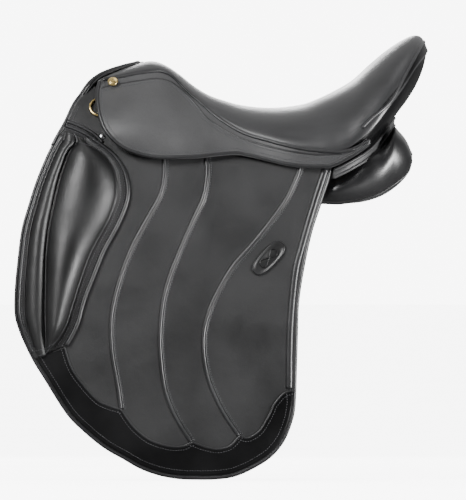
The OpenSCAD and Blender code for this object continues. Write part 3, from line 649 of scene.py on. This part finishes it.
def seat():
    """Leather over the seat."""
    shape = turned(sheet_mesh(seat_grid(150, 81), seat_grid(150, 81, SEAT_T)))
    cover = new_piece("seat_cover_leather", shape, SEAT_LEATHER)
    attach(cover, "saddle")
    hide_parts("seat_cover")


def seat_welt(side, sign):
    """Welt along the seat's edge, which tucks under at its rear end."""
    x = np.linspace(-184, 166, 130)
    tuck = 9 * np.clip((x - 120) / 46, 0, 1) ** 2
    parts = []
    for out, rise, width in ((4.2, -0.8, 4.6), (0.4, 1.4, 2.4)):
        edge = np.stack([x, -(seat_w(x) + out), seat_rim(x) + rise - tuck], axis=1)
        parts.append(sweep(along(edge[::3], spacing=3), round_profile(width, width), (0, 0, 1)))
    welt = new_piece(side + "_seat_welt", joined(parts), PIPING_LEATHER, sign)
    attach(welt, "saddle")
    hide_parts(side + "_skirt_welt")


def crease():
    """Crease sewn round the back of the cantle, and a near-black sheet of painted shade over the seat's rear
    face behind it.
    """
    x = 177 + 87 * np.sin(np.linspace(0, math.pi / 2, 64))
    share = np.clip((crease_z(x) - seat_rim(x)) / (seat_top(x) - seat_rim(x)), 0, 1)
    t = np.maximum(1 - share ** (CROWN / 1.5), 0) ** (1 / CROWN)
    x, t = np.concatenate([x, x[::-1][1:]]), np.concatenate([-t, t[::-1][1:]])
    path = along(np.stack([x, seat_w(x) * t, seat_z(x, t) + 0.2], axis=1)[::2], spacing=3)
    out = path - np.array([150.0, 0, 120.0])
    fold = new_piece("cantle_crease", sweep(path, round_profile(4.6, 3.4), out), SEAT_LEATHER)
    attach(fold, "saddle")
    s = np.linspace(0, 1, 16)[:, None]
    far = lerp(x, SEAT_END - 0.3, s)
    face = np.stack([far, seat_w(far) * t, seat_z(far, t)], axis=-1)
    away = face - np.array([175.0, 0, 150.0])
    away[..., 2] *= 0.4
    away /= np.linalg.norm(away, axis=-1)[..., None]
    outer = face + away * (0.6 + 0.9 * s)[..., None]
    # Painted shade: a near-black sheet over the seat leather's rear face, which is in shade, darker than the
    # seat leather itself.
    rear = new_piece("cantle_rear_painted_shade_sheet", sheet_mesh(outer, face - away * 2), HEM_LEATHER_AND_SHADE)
    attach(rear, "saddle")


def cantle_ring(a, start, reach, width, height, drop=0.0):
    """Points round the cantle at angles a, at the height that a curve gives."""
    x = start + reach * oval(np.cos(a))
    return np.stack(np.broadcast_arrays(x, width * oval(np.sin(a)), height(x) + drop), axis=-1)


def cantle_back():
    """Leather on the rear of the cantle, made near-black as painted shade on this rear-facing side."""
    a = np.radians(np.linspace(-84, 84, 121))[None, :]
    s = np.linspace(0, 1, 24)[:, None]
    high = cantle_ring(a, CANTLE_X, SEAT_END - CANTLE_X - 1.5, RIM_MAX - 1.5, seat_rim, -1.2)
    low = cantle_ring(a, BAND_X, BAND_REACH - 1, RIM_MAX - 8, band_top, 1.5)
    face = lerp(high, low, s[..., None])
    away = face - np.array([CANTLE_X - 20, 0, 0])
    away[..., 2] = 0
    away /= np.linalg.norm(away, axis=-1)[..., None]
    outer = face + away * ((2 + 7 * np.cos(a)) * np.sin(math.pi * s) ** 0.8)[..., None]
    shape = sheet_mesh(outer, outer - away * 2.5)
    # Painted shade: near-black leather stands in for the shade on the cantle's rear.
    back = new_piece("cantle_back_leather", shape, HEM_LEATHER_AND_SHADE)
    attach(back, "saddle")
    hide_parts("cantle_back")


def cantle_band():
    """Band below the cantle, corded along both edges."""
    a = np.radians(np.linspace(-88, 88, 141))[None, :]
    s = np.linspace(0, 1, 9)[:, None]
    strip = cantle_ring(a, BAND_X, BAND_REACH, RIM_MAX - 7, band_top) - np.array([0, 0, 11.5]) * s[..., None]
    away = strip * [1, 1, 0] - np.array([BAND_X, 0, 0])
    away /= np.linalg.norm(away, axis=-1)[..., None]
    parts = [sheet_mesh(strip + away * (0.6 + 1.2 * np.sin(math.pi * s))[..., None], strip - away * 3)]
    for drop in (0.5, 10.8):
        path = along((strip[0] - [0, 0, drop] + away[0] * 1.4)[::3], spacing=3)
        parts.append(sweep(path, round_profile(4.4, 4.4), (0, 0, 1)))
    # Painted light: the band takes the lighter skirt leather to brighten it where it curves away into shade.
    band = new_piece("cantle_band_leather", joined(parts), SKIRT_LEATHER)
    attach(band, "saddle")
    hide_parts("panel_band")


# ---- front arch --------------------------------------------------------------------


def head_point(x, y, z):
    """A point of the tree's head, given upright, in its tilted place."""
    tilt = math.radians(HEAD_TILT)
    x, y, z = np.broadcast_arrays(x, y, np.asarray(z, float) - ARCH_R)
    return np.stack([HEAD_X + x * math.cos(tilt) + z * math.sin(tilt), y,
                     HEAD_Z - x * math.sin(tilt) + z * math.cos(tilt)], axis=-1)


def arch_path(radius, x, leg=78.0, count=25):
    """From the foot of the near leg over the arch to the far one, at depth x in the head."""
    a = np.radians(np.concatenate([np.full(count, LEG_ANGLE), np.linspace(LEG_ANGLE, 90, count)[1:]]))
    drop = np.concatenate([np.linspace(leg, 0, count), np.zeros(count - 1)])
    tip = math.radians(LEG_ANGLE)
    y = radius * np.cos(a) + drop * math.sin(tip)
    z = radius * np.sin(a) - drop * math.cos(tip)
    y, z = np.concatenate([-y, y[::-1][1:]]), np.concatenate([z, z[::-1][1:]])
    return head_point(x, y, z)


def welt_path():
    """Front rim of the saddle, from the near fold over the pommel to the far one."""
    over = [(-135, 0, 198), (-139.5, -14, 196.5), (-152, -28, 193.5), (-171.5, -42, 187.5),
            (-189.5, -56, 179.5), (-203.5, -70, 168)]
    z = np.linspace(152, 82, 9)
    x = front_x(z) + 1
    half = np.vstack([np.array(over, float), np.stack([x, -(side_y(x, z) + 2.5), z], axis=1)])
    return along(np.vstack([half[::-1], half[1:] * [1, -1, 1]]), spacing=3)


def front_facing():
    """Corded rim of the saddle's front, and the leather from there into the arch."""
    rim = welt_path()
    parts = [sweep(rim, round_profile(8, 7), (1, 0, 0.4))]
    parts.append(sweep(rim + [6.2, 0, 0.6], round_profile(4.2, 4.2), (1, 0, 0.4)))
    welt = new_piece("front_facing_welt", joined(parts), PIPING_LEATHER)
    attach(welt, "saddle")
    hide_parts("front_welt")

    inner = along(arch_path(ARCH_R - 17, -20.5), len(rim))
    s = np.linspace(0, 1, 20)[:, None, None]
    start = rim * [1, 0.965, 1] + [1.5, 0, -1.5]
    face = lerp(start[None], inner[None], s)
    face[..., 0] -= 5 * np.sin(math.pi * s[..., 0])
    shape = turned(sheet_mesh(face, face + [2.2, 0, 0]))
    facing = new_piece("front_facing_leather", shape, PANEL_LEATHER)
    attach(facing, "saddle")


def arch_lining():
    """Leather inside the front arch, bound at both ends."""
    depths = np.linspace(-21, 21, 12)
    face, under = [np.array([arch_path(ARCH_R - inset, x) for x in depths]) for inset in (18, 15.6)]
    parts = [sheet_mesh(face, under)]
    for x in (-21, 21):
        parts.append(sweep(along(arch_path(ARCH_R - 17, x), spacing=3), round_profile(3.6, 3.6), (1, 0, 0)))
    lining = new_piece("arch_lining_leather", joined(parts), PANEL_LEATHER)
    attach(lining, "saddle")
    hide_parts("arch_lining")


def gullet():
    """Leather that roofs the channel between the panels."""
    x = np.linspace(-78, 200, 90)[:, None]
    y = np.linspace(1 - GULLET, GULLET - 1, 17)[None, :]
    z = np.minimum(panel_top(x) - 4, tree_low(x, y) - 4)
    top = np.stack(np.broadcast_arrays(x, y, z), axis=-1)
    shape = sheet_mesh(top, top - [0, 0, 2.5])
    lining = new_piece("gullet_lining_leather", shape, PANEL_LEATHER)
    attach(lining, "saddle")
    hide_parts("gullet_lining")


# ---- panels and sweat flaps ---------------------------------------------------------

panel_top = Curve(
    (-228, 20), (-205, 34), (-183, 36), (-165, 31), (-144, 23), (-134, 32), (-120, 62), (-100, 94),
    (-70, 120), (-40, 130), (60, 110), (130, 96), (184, 98), (199, 85), (206, 85), (214, 95.5),
    (219, 103.5), (223, 110), (229, 104), (239, 92), (246, 77), (248.4, 64),
)
panel_low = Curve(
    (-228, -30), (-200, -72), (-170, -88), (-120, -90), (-60, -78), (0, -56), (60, -30), (90, -8), (110, 2),
    (148, 2), (177, 4), (200, 10), (217, 19), (234, 33), (244, 47), (247.4, 62),
)
panel_bearing = Curve(
    (-228, 0), (-180, 6), (-100, 16), (0, 20), (100, 12), (150, 3.5), (178, 5), (206, 13), (230, 31),
    (242, 46), (247.4, 63),
)
panel_tip = Curve((-228, 16), (-180, 26), (0, 30), (80, 40), (120, 60), (247, 60))


def corners_cut(loops):
    """Closed loops with each corner cut twice, which rounds them without swelling them."""
    for _ in range(2):
        after = np.roll(loops, -1, axis=1)
        loops = np.stack([0.75 * loops + 0.25 * after, 0.25 * loops + 0.75 * after], axis=2)
        loops = loops.reshape(loops.shape[0], -1, loops.shape[-1])
    return loops


def panel_loop(x):
    """[y, z] round one section of a panel, from the gullet over its top to its tip and back."""
    top, low, bearing = float(panel_top(x)), float(panel_low(x)), float(panel_bearing(x))
    rear = np.clip((x - 105) / 40, 0, 1)
    edge = RIM_MAX - 11 if x > 100 else 400
    outer = min(0.84 * seat_w(max(x, -120)), side_y(x, min(top, 70)) - 16, 88 if x < -140 else 400,
                band_y(min(x, 203)) - 3)
    shoulder = float(band_top(x - 2.6)) - 13 if x > 110 else 400
    ys = lerp(GULLET, outer, np.linspace(0, 1, 5))
    over = np.stack([ys, np.minimum(top, tree_low(np.full(5, x), ys) - 3.5)], axis=1)
    z0 = min(over[-1, 1] - 6, shoulder)
    zs = lerp(z0, low + 8, np.linspace(0, 1, 6))
    side = np.stack([np.minimum(side_y(x, zs) - 16.6, edge), zs], axis=1)
    side[:, 0] += 12 * rear * np.sin(math.pi * np.linspace(0.06, 0.85, 6))
    corner = [outer + 0.5, z0 + 0.5] if x > 110 else lerp(over[-1], side[0], 0.5)
    bottom = [min(side_y(x, low) - 18, edge - 4), low]
    t = np.linspace(0, 1, 5)
    back_y = lerp(bottom[0] - float(panel_tip(x)) * 0.8, GULLET + 6, t)
    back = np.stack([back_y, lerp(low, bearing, t**1.25)], axis=1)
    return np.vstack([over, [corner], side, [bottom], back, [[GULLET, bearing + 8]]])


# Points of a section, in the order of panel_loop, that the sewn seams run through.
PANEL_SEAMS = (47, 74)


def panel_rings():
    """Sections of the near panel, rounded off towards both ends, and the line they stand round."""
    s = np.sin(np.linspace(-math.pi / 2, math.pi / 2, 110))
    xs = lerp(-227.5, 248.2, (s + 1) / 2)
    loops = corners_cut(np.array([panel_loop(x) for x in xs]))
    half = (loops.max(axis=1) - loops.min(axis=1))[:, None] / 2
    middle = loops.max(axis=1)[:, None] - half
    arm = (loops - middle) / half
    bulge = 0.75 * np.clip((xs - 150) / 60, 0, 1)[:, None, None]
    loops = middle + arm * half * lerp(1, 1 / np.linalg.norm(arm, axis=-1, keepdims=True), bulge)
    centre = loops.mean(axis=1)
    front = np.sqrt(np.clip(1 - np.clip((-190 - xs) / 38, 0, 1) ** 2.2, 0.02, 1))
    rear = np.clip(1 - np.clip((xs - 158) / 90.6, 0, 1) ** 2.1, 0.01, 1) ** 0.5
    scale = (front * rear)[:, None]
    y = centre[:, :1] + (loops[..., 0] - centre[:, :1]) * scale
    z = centre[:, 1:] + (loops[..., 1] - centre[:, 1:]) * np.where(xs < 0, front**0.5, 1)[:, None]
    return np.stack([np.broadcast_to(xs[:, None], y.shape) - 0.02 * y, -y, z], axis=-1), centre


def panel(side, sign):
    """Stuffed panel that bears on the horse, with its sewn seams."""
    rings, centre = panel_rings()
    pad = new_piece(side + "_panel_padding", turned(capped(rings)), PANEL_LEATHER, sign)
    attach(pad, "saddle")
    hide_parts(side + "_panel")
    parts = []
    for index in PANEL_SEAMS:
        path = rings[4:-3, index]
        middle = np.stack([path[:, 0], centre[4:-3, 0] * -1, centre[4:-3, 1]], axis=1)
        path = along(path[::2], spacing=3)
        inside = along(middle[::2], len(path))
        parts.append(sweep(path, round_profile(3.4, 3.4), path - inside))
    seams = new_piece(side + "_panel_seams", joined(parts), PIPING_LEATHER, sign)
    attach(seams, "saddle")


def sweat_flap(side, sign):
    """Inner flap between the girth straps and the panel, bound round its edge."""
    v, u = np.sin(np.linspace(0, math.pi / 2, 90))[:, None], np.linspace(0, 1, 70)[None, :]

    def row(curve, inset):
        # The height of the flap's top depends on x again, so x is found in a few rounds.
        x = np.full_like(v, -100.0)
        for _ in range(6):
            x = curve(lerp(fold_z(x) - 6, -366, v))
        return x + inset

    x = lerp(row(front_x, 12), row(rear_x, -12), u)
    grid = np.stack([x, lerp(fold_z(x) - 6, -366, v)], axis=-1)
    shape = sheet_mesh(on_flap(grid, -14.5), on_flap(grid, -17.5))
    piece = new_piece(side + "_sweat_flap_leather", shape, FLAP_LEATHER, sign)
    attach(piece, "saddle")
    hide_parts(side + "_sweat_flap")
    edge = along(np.vstack([grid[::6, 0], grid[-1, 6:-6:6], grid[::-6, -1]]), spacing=3)
    bound = cord(on_flap(edge, -16), 4.5, 4.6)
    binding = new_piece(side + "_sweat_flap_binding", bound, PIPING_LEATHER, sign)
    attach(binding, "saddle")
    rows = [on_flap(inward(edge, -7), -14.5)]
    sewn = stitching(side + "_sweat_flap_stitches", rows, sign)
    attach(sewn, "saddle")


def pocket(side, sign):
    """Leather cup on the panel that takes the point of the tree."""
    a = np.linspace(0, 2 * math.pi, 48, endpoint=False)
    tip = math.radians(LEG_ANGLE)
    radius, leg = ARCH_R - 8, 112.0
    y0 = -(radius * math.cos(tip) + leg * math.sin(tip))
    z0 = radius * math.sin(tip) - leg * math.cos(tip)
    rings = []
    levels = [(23, 10, 28), (23, 10, 20), (23, 10, 4), (22, 9, -3), (14, 5, -5), (1, 0.5, -5)]
    for x, y, z in [(1, 0.5, -1), (18, 6, -1), (19, 6.5, 2), (19, 6.5, 27), (20.5, 8, 28.6)] + levels:
        px, py = x * oval(np.cos(a), 0.4), y * oval(np.sin(a), 0.4)
        ly = py * math.cos(tip) + z * math.sin(tip)
        lz = -py * math.sin(tip) + z * math.cos(tip)
        rings.append(head_point(px, y0 + ly, z0 + lz))
    shape = np.vstack(rings), quads(len(rings), len(a), wrap=True)
    cup = new_piece(side + "_point_pocket_leather", shape, STRAP_LEATHER, sign)
    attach(cup, "saddle")
    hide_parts(side + "_point_pocket")


def strap_stitches(side, sign, strap, x0):
    """Sewing along both edges of a girth strap."""
    z_top = float(fold_z(x0)) + 17
    z = np.linspace(z_top - 8, -314, 60)
    rows = []
    for across in (-10.6, 10.6):
        path = np.stack([x0 + across - 0.0095 * (z_top - z), z], axis=1)
        rows.append(on_flap(path, -8.6))
    sewn = stitching(f"{side}_{strap}_billet_stitches", rows, sign)
    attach(sewn, f"{side}_{strap}_strap")


# ---- skirts ----------------------------------------------------------------------


def skirt(side, sign):
    """Skirt over the stirrup bar, with its beaded edge."""
    grid = coons(SKIRT_TOP, SKIRT_LOW, SKIRT_FRONT, [(187, 90), (187, 84)], 64, 150)
    shape = sheet_mesh(on_skirt(grid), on_skirt(grid, -SKIRT_T))
    piece = new_piece(side + "_skirt_leather", shape, SKIRT_LEATHER, sign)
    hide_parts(side + "_skirt", side + "_skirt_lobe")
    bend_skirt(piece, side)
    edge = along(SKIRT_FRONT + SKIRT_LOW[1:], spacing=2.5)
    bead = on_skirt(inward(edge, -2.2), -1.0)
    seam = on_skirt(along(SKIRT_SEAM, spacing=2.5), 0.1)
    tail = on_skirt(along(SKIRT_TOP[-4:], spacing=2.5), -0.6)
    parts = [cord(bead, 5.2, 5.0), cord(seam, 3.0, 2.0, drop=0.3), cord(tail, 3.4, 3.4)]
    piping = new_piece(side + "_skirt_piping", joined(parts), PIPING_LEATHER, sign)
    bend_skirt(piping, side)
    rows = [on_skirt(inward(edge, -8.5)), on_skirt(inward(along(SKIRT_SEAM, spacing=2.5), 4.5))]
    sewn = stitching(side + "_skirt_stitches", rows, sign)
    bend_skirt(sewn, side)


def bend(piece, side, hinge):
    """Finds the hinge line of a joint but does not bend the piece; it only bakes the piece's transform into
    its mesh.
    """
    joint = next(j for j in frame["joints"] if j["name"] == f"{side}_{hinge}")
    axis, middle = Vector(joint["axis"]).normalized(), Vector(joint["pos_m"])
    down = Vector((0, 0, -1)) - axis * axis.dot(Vector((0, 0, -1)))
    down.normalize()
    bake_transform(piece)


def bend_skirt(piece, side):
    bend(piece, side, "skirt_lift")


def bend_flap(piece, side):
    bend(piece, side, "flap_lift")


# ---- flaps -----------------------------------------------------------------------


def flap(side, sign):
    """Outer flap, with its bound edge, front roll and raised channels."""
    grid = coons(HIDDEN_TOP, HEM, FRONT_EDGE, REAR_EDGE[::-1], 170, 150)
    shape = sheet_mesh(on_flap(grid), on_flap(grid, -FLAP_T))
    piece = new_piece(side + "_flap_leather", shape, FLAP_LEATHER, sign)
    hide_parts(side + "_flap", side + "_flap_head")
    bend_flap(piece, side)
    outline = along(FRONT_EDGE[1:] + HEM[1:] + REAR_EDGE[1:], spacing=3)
    edge = on_flap(inward(outline, -1.6), -FLAP_T / 2)
    roll = on_flap(along(ROLL_EDGE, spacing=3), 0.4)
    parts = [cord(edge, 5.6, FLAP_T + 1.4), cord(roll, 9, 4.2, drop=0.5)]
    for path in CHANNELS:
        middle = along(path, spacing=2.5)
        for across, width in ((1.4, 5.4), (-2.2, 2.2)):
            parts.append(cord(on_flap(inward(middle, across)), width, 0.6 * width, 8))
    piping = new_piece(side + "_flap_piping", joined(parts), PIPING_LEATHER, sign)
    bend_flap(piping, side)
    rows = [on_flap(inward(along(path, spacing=2.5), -4.4)) for path in CHANNELS]
    rows.append(on_flap(inward(along(REAR_EDGE, spacing=3), -7.5), 0.2))
    rows.append(on_flap(inward(along(FRONT_EDGE[2:12], spacing=3), -7.5), 0.2))
    sewn = stitching(side + "_flap_stitches", rows, sign)
    bend_flap(sewn, side)


def hem_guard(side, sign):
    """Smooth leather along the hem, with a scalloped upper edge."""
    upper = np.vstack([along(part, spacing=2.0)[:-1] for part in SCALLOPS] + [[SCALLOPS[-1][-1]]])
    outline = along([(-284, -209)] + HEM[1:] + [(82.5, -262)], spacing=2.0)
    lower = inward(outline, -5)
    lower = along(lower[::6], len(upper))
    v = np.linspace(0, 1, 14)[:, None, None]
    grid = lerp(upper[None], lower[None], v)
    shape = sheet_mesh(on_flap(grid, 2.0), on_flap(grid, 0.3))
    piece = new_piece(side + "_hem_guard_leather", shape, HEM_LEATHER_AND_SHADE, sign)
    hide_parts(side + "_hem_guard")
    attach(piece, f"{side}_flap_group")
    parts = [cord(on_flap(along(part, spacing=2.0), 1.6), 2.6, 2.2, 8) for part in SCALLOPS[1:]]
    lines = new_piece(side + "_hem_guard_piping", joined(parts), PIPING_LEATHER, sign)
    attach(lines, f"{side}_flap_group")
    rows = [on_flap(inward(along(part, spacing=2.0), 5.0), 2.0) for part in SCALLOPS[1:]]
    rows.append(on_flap(inward(outline, -11), 2.0))
    sewn = stitching(side + "_hem_guard_stitches", rows, sign)
    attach(sewn, f"{side}_flap_group")


def block_point(s, q):
    """[x, z] on the knee block: s runs down it, and q is 0 at the flap's edge, 1 at the groove,
    2 at the block's rear edge and 3 at its piping."""
    left, right = lerp(BLOCK_TOP[0], BLOCK_LOW[0], s), lerp(BLOCK_TOP[1], BLOCK_LOW[1], s)
    zs = [left, lerp(left, right, 0.35), lerp(left, right, 0.85), right]
    xs = [line(z) for line, z in zip((block_front, block_groove, block_rear, block_piping), zs)]
    k = np.clip(np.floor(q).astype(int), 0, 2)

    def between(lines):
        lines = np.stack(np.broadcast_arrays(*lines))
        first, second = [np.take_along_axis(lines, i[None], 0)[0] for i in (k, k + 1)]
        return lerp(first, second, q - k)

    return np.stack([between(xs), between(zs)], axis=-1)


def block_height(s, q):
    """Height of the padding over the flap: front roll, groove, block and its flat surround."""
    ends = np.clip(np.minimum(s / 0.12, (1 - s) / 0.13), 0, 1)
    ends = np.sin(ends * math.pi / 2) ** 0.8
    roll = 2.2 + 8.5 * np.sin(math.pi * np.clip((q - 0.3) / 0.7, 0, 1)) ** 0.7 * lerp(0.45, 1, ends)
    b = np.clip(q - 1, 0, 1)
    body = 3.4 + (BLOCK_H + 1.5) * np.sin(math.pi * b**0.92) ** 0.62 * ends * lerp(1.0, 0.8, s)
    surround = 2.4 + 0.8 * np.sin(math.pi * np.clip(q - 2, 0, 1))
    return np.where(q < 1, roll, np.where(q < 2, body, surround))


def on_block(s, q, lift=0.0):
    """Points on the face of the near knee block, lift millimetres off it."""
    points = on_flap(block_point(s, q))
    points[..., 1] -= block_height(s, q) + lift
    return points


def knee_block(side, sign):
    """Padded block and front roll on the flap, with their piping, ribbed band and stitches."""
    s, q = np.meshgrid(np.linspace(0, 1, 150), np.linspace(0, 3, 121), indexing="ij")
    shape = sheet_mesh(on_block(s, q), on_flap(block_point(s, q), 0.2), 0.1)
    piece = new_piece(side + "_knee_block_leather", shape, BLOCK_LEATHER, sign)
    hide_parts(side + "_knee_block", side + "_knee_block_base")
    bend_flap(piece, side)

    def line(q_at, lift, first=0.0, last=1.0):
        run = np.linspace(first, last, 110)
        return along(on_block(run, np.full_like(run, q_at), lift)[::4], spacing=3)

    cords = [
        (line(2.97, 0), 6.2), (line(1.0, -0.4), 3.6), (line(2.0, -0.6), 2.8),
        (line(0.06, -0.6, 0.02, 0.98), 4.4), (line(0.26, -0.4, 0.04, 0.96), 2.8),
    ]
    ribs = [along(np.array(BLOCK_BAND) + [0.35 * rise, rise], spacing=2) for rise in (-1, 2, 5, 8, 11, 14)]
    cords += [(on_flap(rib, 0.4), 5.4) for rib in ribs[::2]]
    parts = [cord(path, width, 0.9 * width) for path, width in cords]
    pipes = new_piece(side + "_knee_block_piping", joined(parts), PIPING_LEATHER, sign)
    bend_flap(pipes, side)
    rows = [line(2.35, 0.2), line(2.7, 0.2), line(0.16, 0.3, 0.04, 0.96)]
    rows += [on_flap(rib, 2.4) for rib in ribs[1::2]]
    for s_at in (0.012, 0.04, 0.97, 0.992):
        across = np.linspace(0.08, 1.95, 60)
        rows.append(along(on_block(np.full_like(across, s_at), across, 0.2), spacing=3))
    sewn = stitching(side + "_knee_block_stitches", rows, sign)
    bend_flap(sewn, side)


def flap_patch(side, sign):
    """A plain embossed cartouche: a lozenge with a raised rim and a braided rosette."""
    centre, dir_ = np.array([46.6, -74.0]), np.array([0.69, 0.724])
    across = np.array([dir_[1], -dir_[0]])
    a = np.linspace(0, 2 * math.pi, 96, endpoint=False)

    def outline(scale):
        u, v = 29 * scale * oval(np.cos(a), 0.75), 12 * scale * oval(np.sin(a), 0.75)
        return centre + u[:, None] * dir_ + v[:, None] * across

    levels = [(1.0, 0.2), (0.99, 2.2), (0.94, 2.9), (0.87, 2.9),
              (0.82, 1.9), (0.6, 2.1), (0.3, 2.6), (0.02, 2.8)]
    rings = [on_flap(outline(k), h) for k, h in levels]
    faces = quads(len(rings), 96, wrap=True, flip=True)
    faces.append(tuple(range(96)))
    faces.append(tuple(range((len(rings) - 1) * 96, len(rings) * 96))[::-1])
    parts = [(np.vstack(rings), faces)]
    turn = np.linspace(0, 2 * math.pi, 60)
    for phase in (0, math.pi):
        u, v = 15 * np.cos(turn + phase), 5.2 * np.sin(2 * turn)
        path = on_flap(centre + u[:, None] * dir_ + v[:, None] * across, 2.5)
        parts.append(cord(path, 1.6, 1.6, 6))
    piece = new_piece(side + "_flap_cartouche", joined(parts), GLOSS_LEATHER, sign)
    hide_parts(side + "_flap_patch")
    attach(piece, f"{side}_flap_group")


# ---- camera, light and floor -------------------------------------------------------


# Metres: width of the view a little over half way out to the near side, the camera's distance and
# its aim, the floor's half width and how far it lies below the saddle.
VIEW_SPAN, VIEW_DISTANCE, VIEW_CENTRE = 0.695, 25.0, Vector((-0.0028, 0, -0.0626))
FLOOR_REACH, FLOOR_GAP = 80.0, 0.003


def studio():
    """Camera, floor and lights."""
    low = cad_box[0]
    data = bpy.data.cameras.new("camera")
    data.sensor_width = 36
    data.lens = data.sensor_width * (VIEW_DISTANCE + 0.55 * low.y) / VIEW_SPAN
    data.clip_end = 200
    camera = bpy.data.objects.new("camera", data)
    camera.location = VIEW_CENTRE + Vector((0, -VIEW_DISTANCE, 0))
    camera.rotation_euler = (math.pi / 2, 0, 0)
    bpy.context.collection.objects.link(camera)
    bpy.context.scene.camera = camera

    n = Nodes("floor_paint")
    paint = n.colours(n.noise(3, 3), (0.9, 0.9, 0.9), (0.94, 0.94, 0.94))
    n.set(Base_Color=paint, Roughness=0.9, Emission_Color=paint, Emission_Strength=7.4)
    dull = n.add("ShaderNodeBsdfDiffuse", {"Color": (0.3, 0.3, 0.3, 1)})
    seen = n.add("ShaderNodeLightPath").outputs["Is Camera Ray"]
    mix = n.add("ShaderNodeMixShader", {0: seen, 1: dull.outputs[0], 2: n.shader.outputs[0]})
    n.put(n.tree.nodes["Material Output"].inputs["Surface"], mix.outputs[0])
    mesh = bpy.data.meshes.new("floor")
    reach, z = FLOOR_REACH, low.z - FLOOR_GAP
    mesh.from_pydata([(-reach, -reach, z), (reach, -reach, z), (reach, reach, z), (-reach, reach, z)], [],
                     [(0, 1, 2, 3)])
    mesh.materials.append(n.material)
    floor = bpy.data.objects.new("floor", mesh)
    bpy.context.collection.objects.link(floor)
    lights()


def lights():
    """A white studio: bright to the camera, dimmer and softly graded as light on the leather."""
    world = bpy.data.worlds.new("studio")
    world.use_nodes = True
    tree = world.node_tree
    seen = tree.nodes["Background"]
    seen.inputs["Color"].default_value = (1, 1, 1, 1)
    seen.inputs["Strength"].default_value = 8.0
    cast = tree.nodes.new("ShaderNodeBackground")
    cast.inputs["Strength"].default_value = 1.0
    place, facing = tree.nodes.new("ShaderNodeTexCoord"), tree.nodes.new("ShaderNodeVectorMath")
    facing.operation = "DOT_PRODUCT"
    facing.inputs[1].default_value = (0, 0.8, 0.6)
    ramp, path = tree.nodes.new("ShaderNodeValToRGB"), tree.nodes.new("ShaderNodeLightPath")
    for element, (position, glow) in zip(ramp.color_ramp.elements, [(0.0, 0.1), (0.95, 0.8)]):
        element.position, element.color = position, (glow, glow, glow, 1)
    mix = tree.nodes.new("ShaderNodeMixShader")
    tree.links.new(place.outputs["Generated"], facing.inputs[0])
    tree.links.new(facing.outputs["Value"], ramp.inputs["Fac"])
    tree.links.new(ramp.outputs["Color"], cast.inputs["Color"])
    tree.links.new(path.outputs["Is Camera Ray"], mix.inputs["Fac"])
    tree.links.new(cast.outputs[0], mix.inputs[1])
    tree.links.new(seen.outputs[0], mix.inputs[2])
    tree.links.new(mix.outputs[0], tree.nodes["World Output"].inputs["Surface"])
    bpy.context.scene.world = world
    lamps = [
        ("key", (-1.9, -1.8, 1.6), 1.5, 112), ("fill", (2.3, -1.9, 0.1), 0.9, 150),
        ("top", (-0.2, 2.6, 0.75), 1.0, 24), ("crown", (0.3, -0.6, 2.4), 1.2, 6),
    ]
    for name, place, size, power in lamps:
        lamp = bpy.data.lights.new(name, "AREA")
        lamp.shape, lamp.size, lamp.energy = "DISK", size, power
        o = bpy.data.objects.new(name, lamp)
        o.location = place
        o.visible_camera = False
        o.rotation_euler = (-Vector(place)).to_track_quat("-Z", "Y").to_euler()
        bpy.context.collection.objects.link(o)


def dress(material, *nodes):
    """Gives CAD nodes that stay in sight their material."""
    for name in nodes:
        mesh = frame["nodes"][name].data
        mesh.materials.clear()
        mesh.materials.append(material)


def dress_frame():
    """Materials of the CAD nodes."""
    dress(LAMINATE, "tree_frame", "tree_head")
    dress(DARK_STEEL, "head_plate", "gullet_plate")
    dress(PIPING_LEATHER, "front_welt", "panel_band")
    dress(PANEL_LEATHER, "arch_lining", "gullet_lining", "cantle_back")
    dress(CANVAS, "seat_webbing")
    dress(FOAM, "seat_foam")
    dress(BRASS, "head_nails", "billet_rivets")
    dress(STEEL, "flap_screws", "bar_rivets", "catch_pins")
    for side in SIDES:
        dress(DARK_STEEL, side + "_spring")
        dress(CANVAS, side + "_girth_webbing")
        dress(STRAP_LEATHER, side + "_point_billet", side + "_rear_billet")
        dress(STEEL, side + "_stirrup_bar", side + "_bar_catch")
        dress(BRASS, side + "_front_ring", side + "_ring_staple")
        dress(PIPING_LEATHER, side + "_point_pocket", side + "_skirt_welt")
        dress(PANEL_LEATHER, side + "_sweat_flap", side + "_panel")


studio()
dress_frame()
seat()
for side, sign in SIDES.items():
    seat_welt(side, sign)
crease()
cantle_back()
cantle_band()
front_facing()
arch_lining()
gullet()
for side, sign in SIDES.items():
    panel(side, sign)
    sweat_flap(side, sign)
    pocket(side, sign)
    strap_stitches(side, sign, "point", -98.0)
    strap_stitches(side, sign, "rear", 22.0)
    skirt(side, sign)
    flap(side, sign)
    hem_guard(side, sign)
    knee_block(side, sign)
    flap_patch(side, sign)
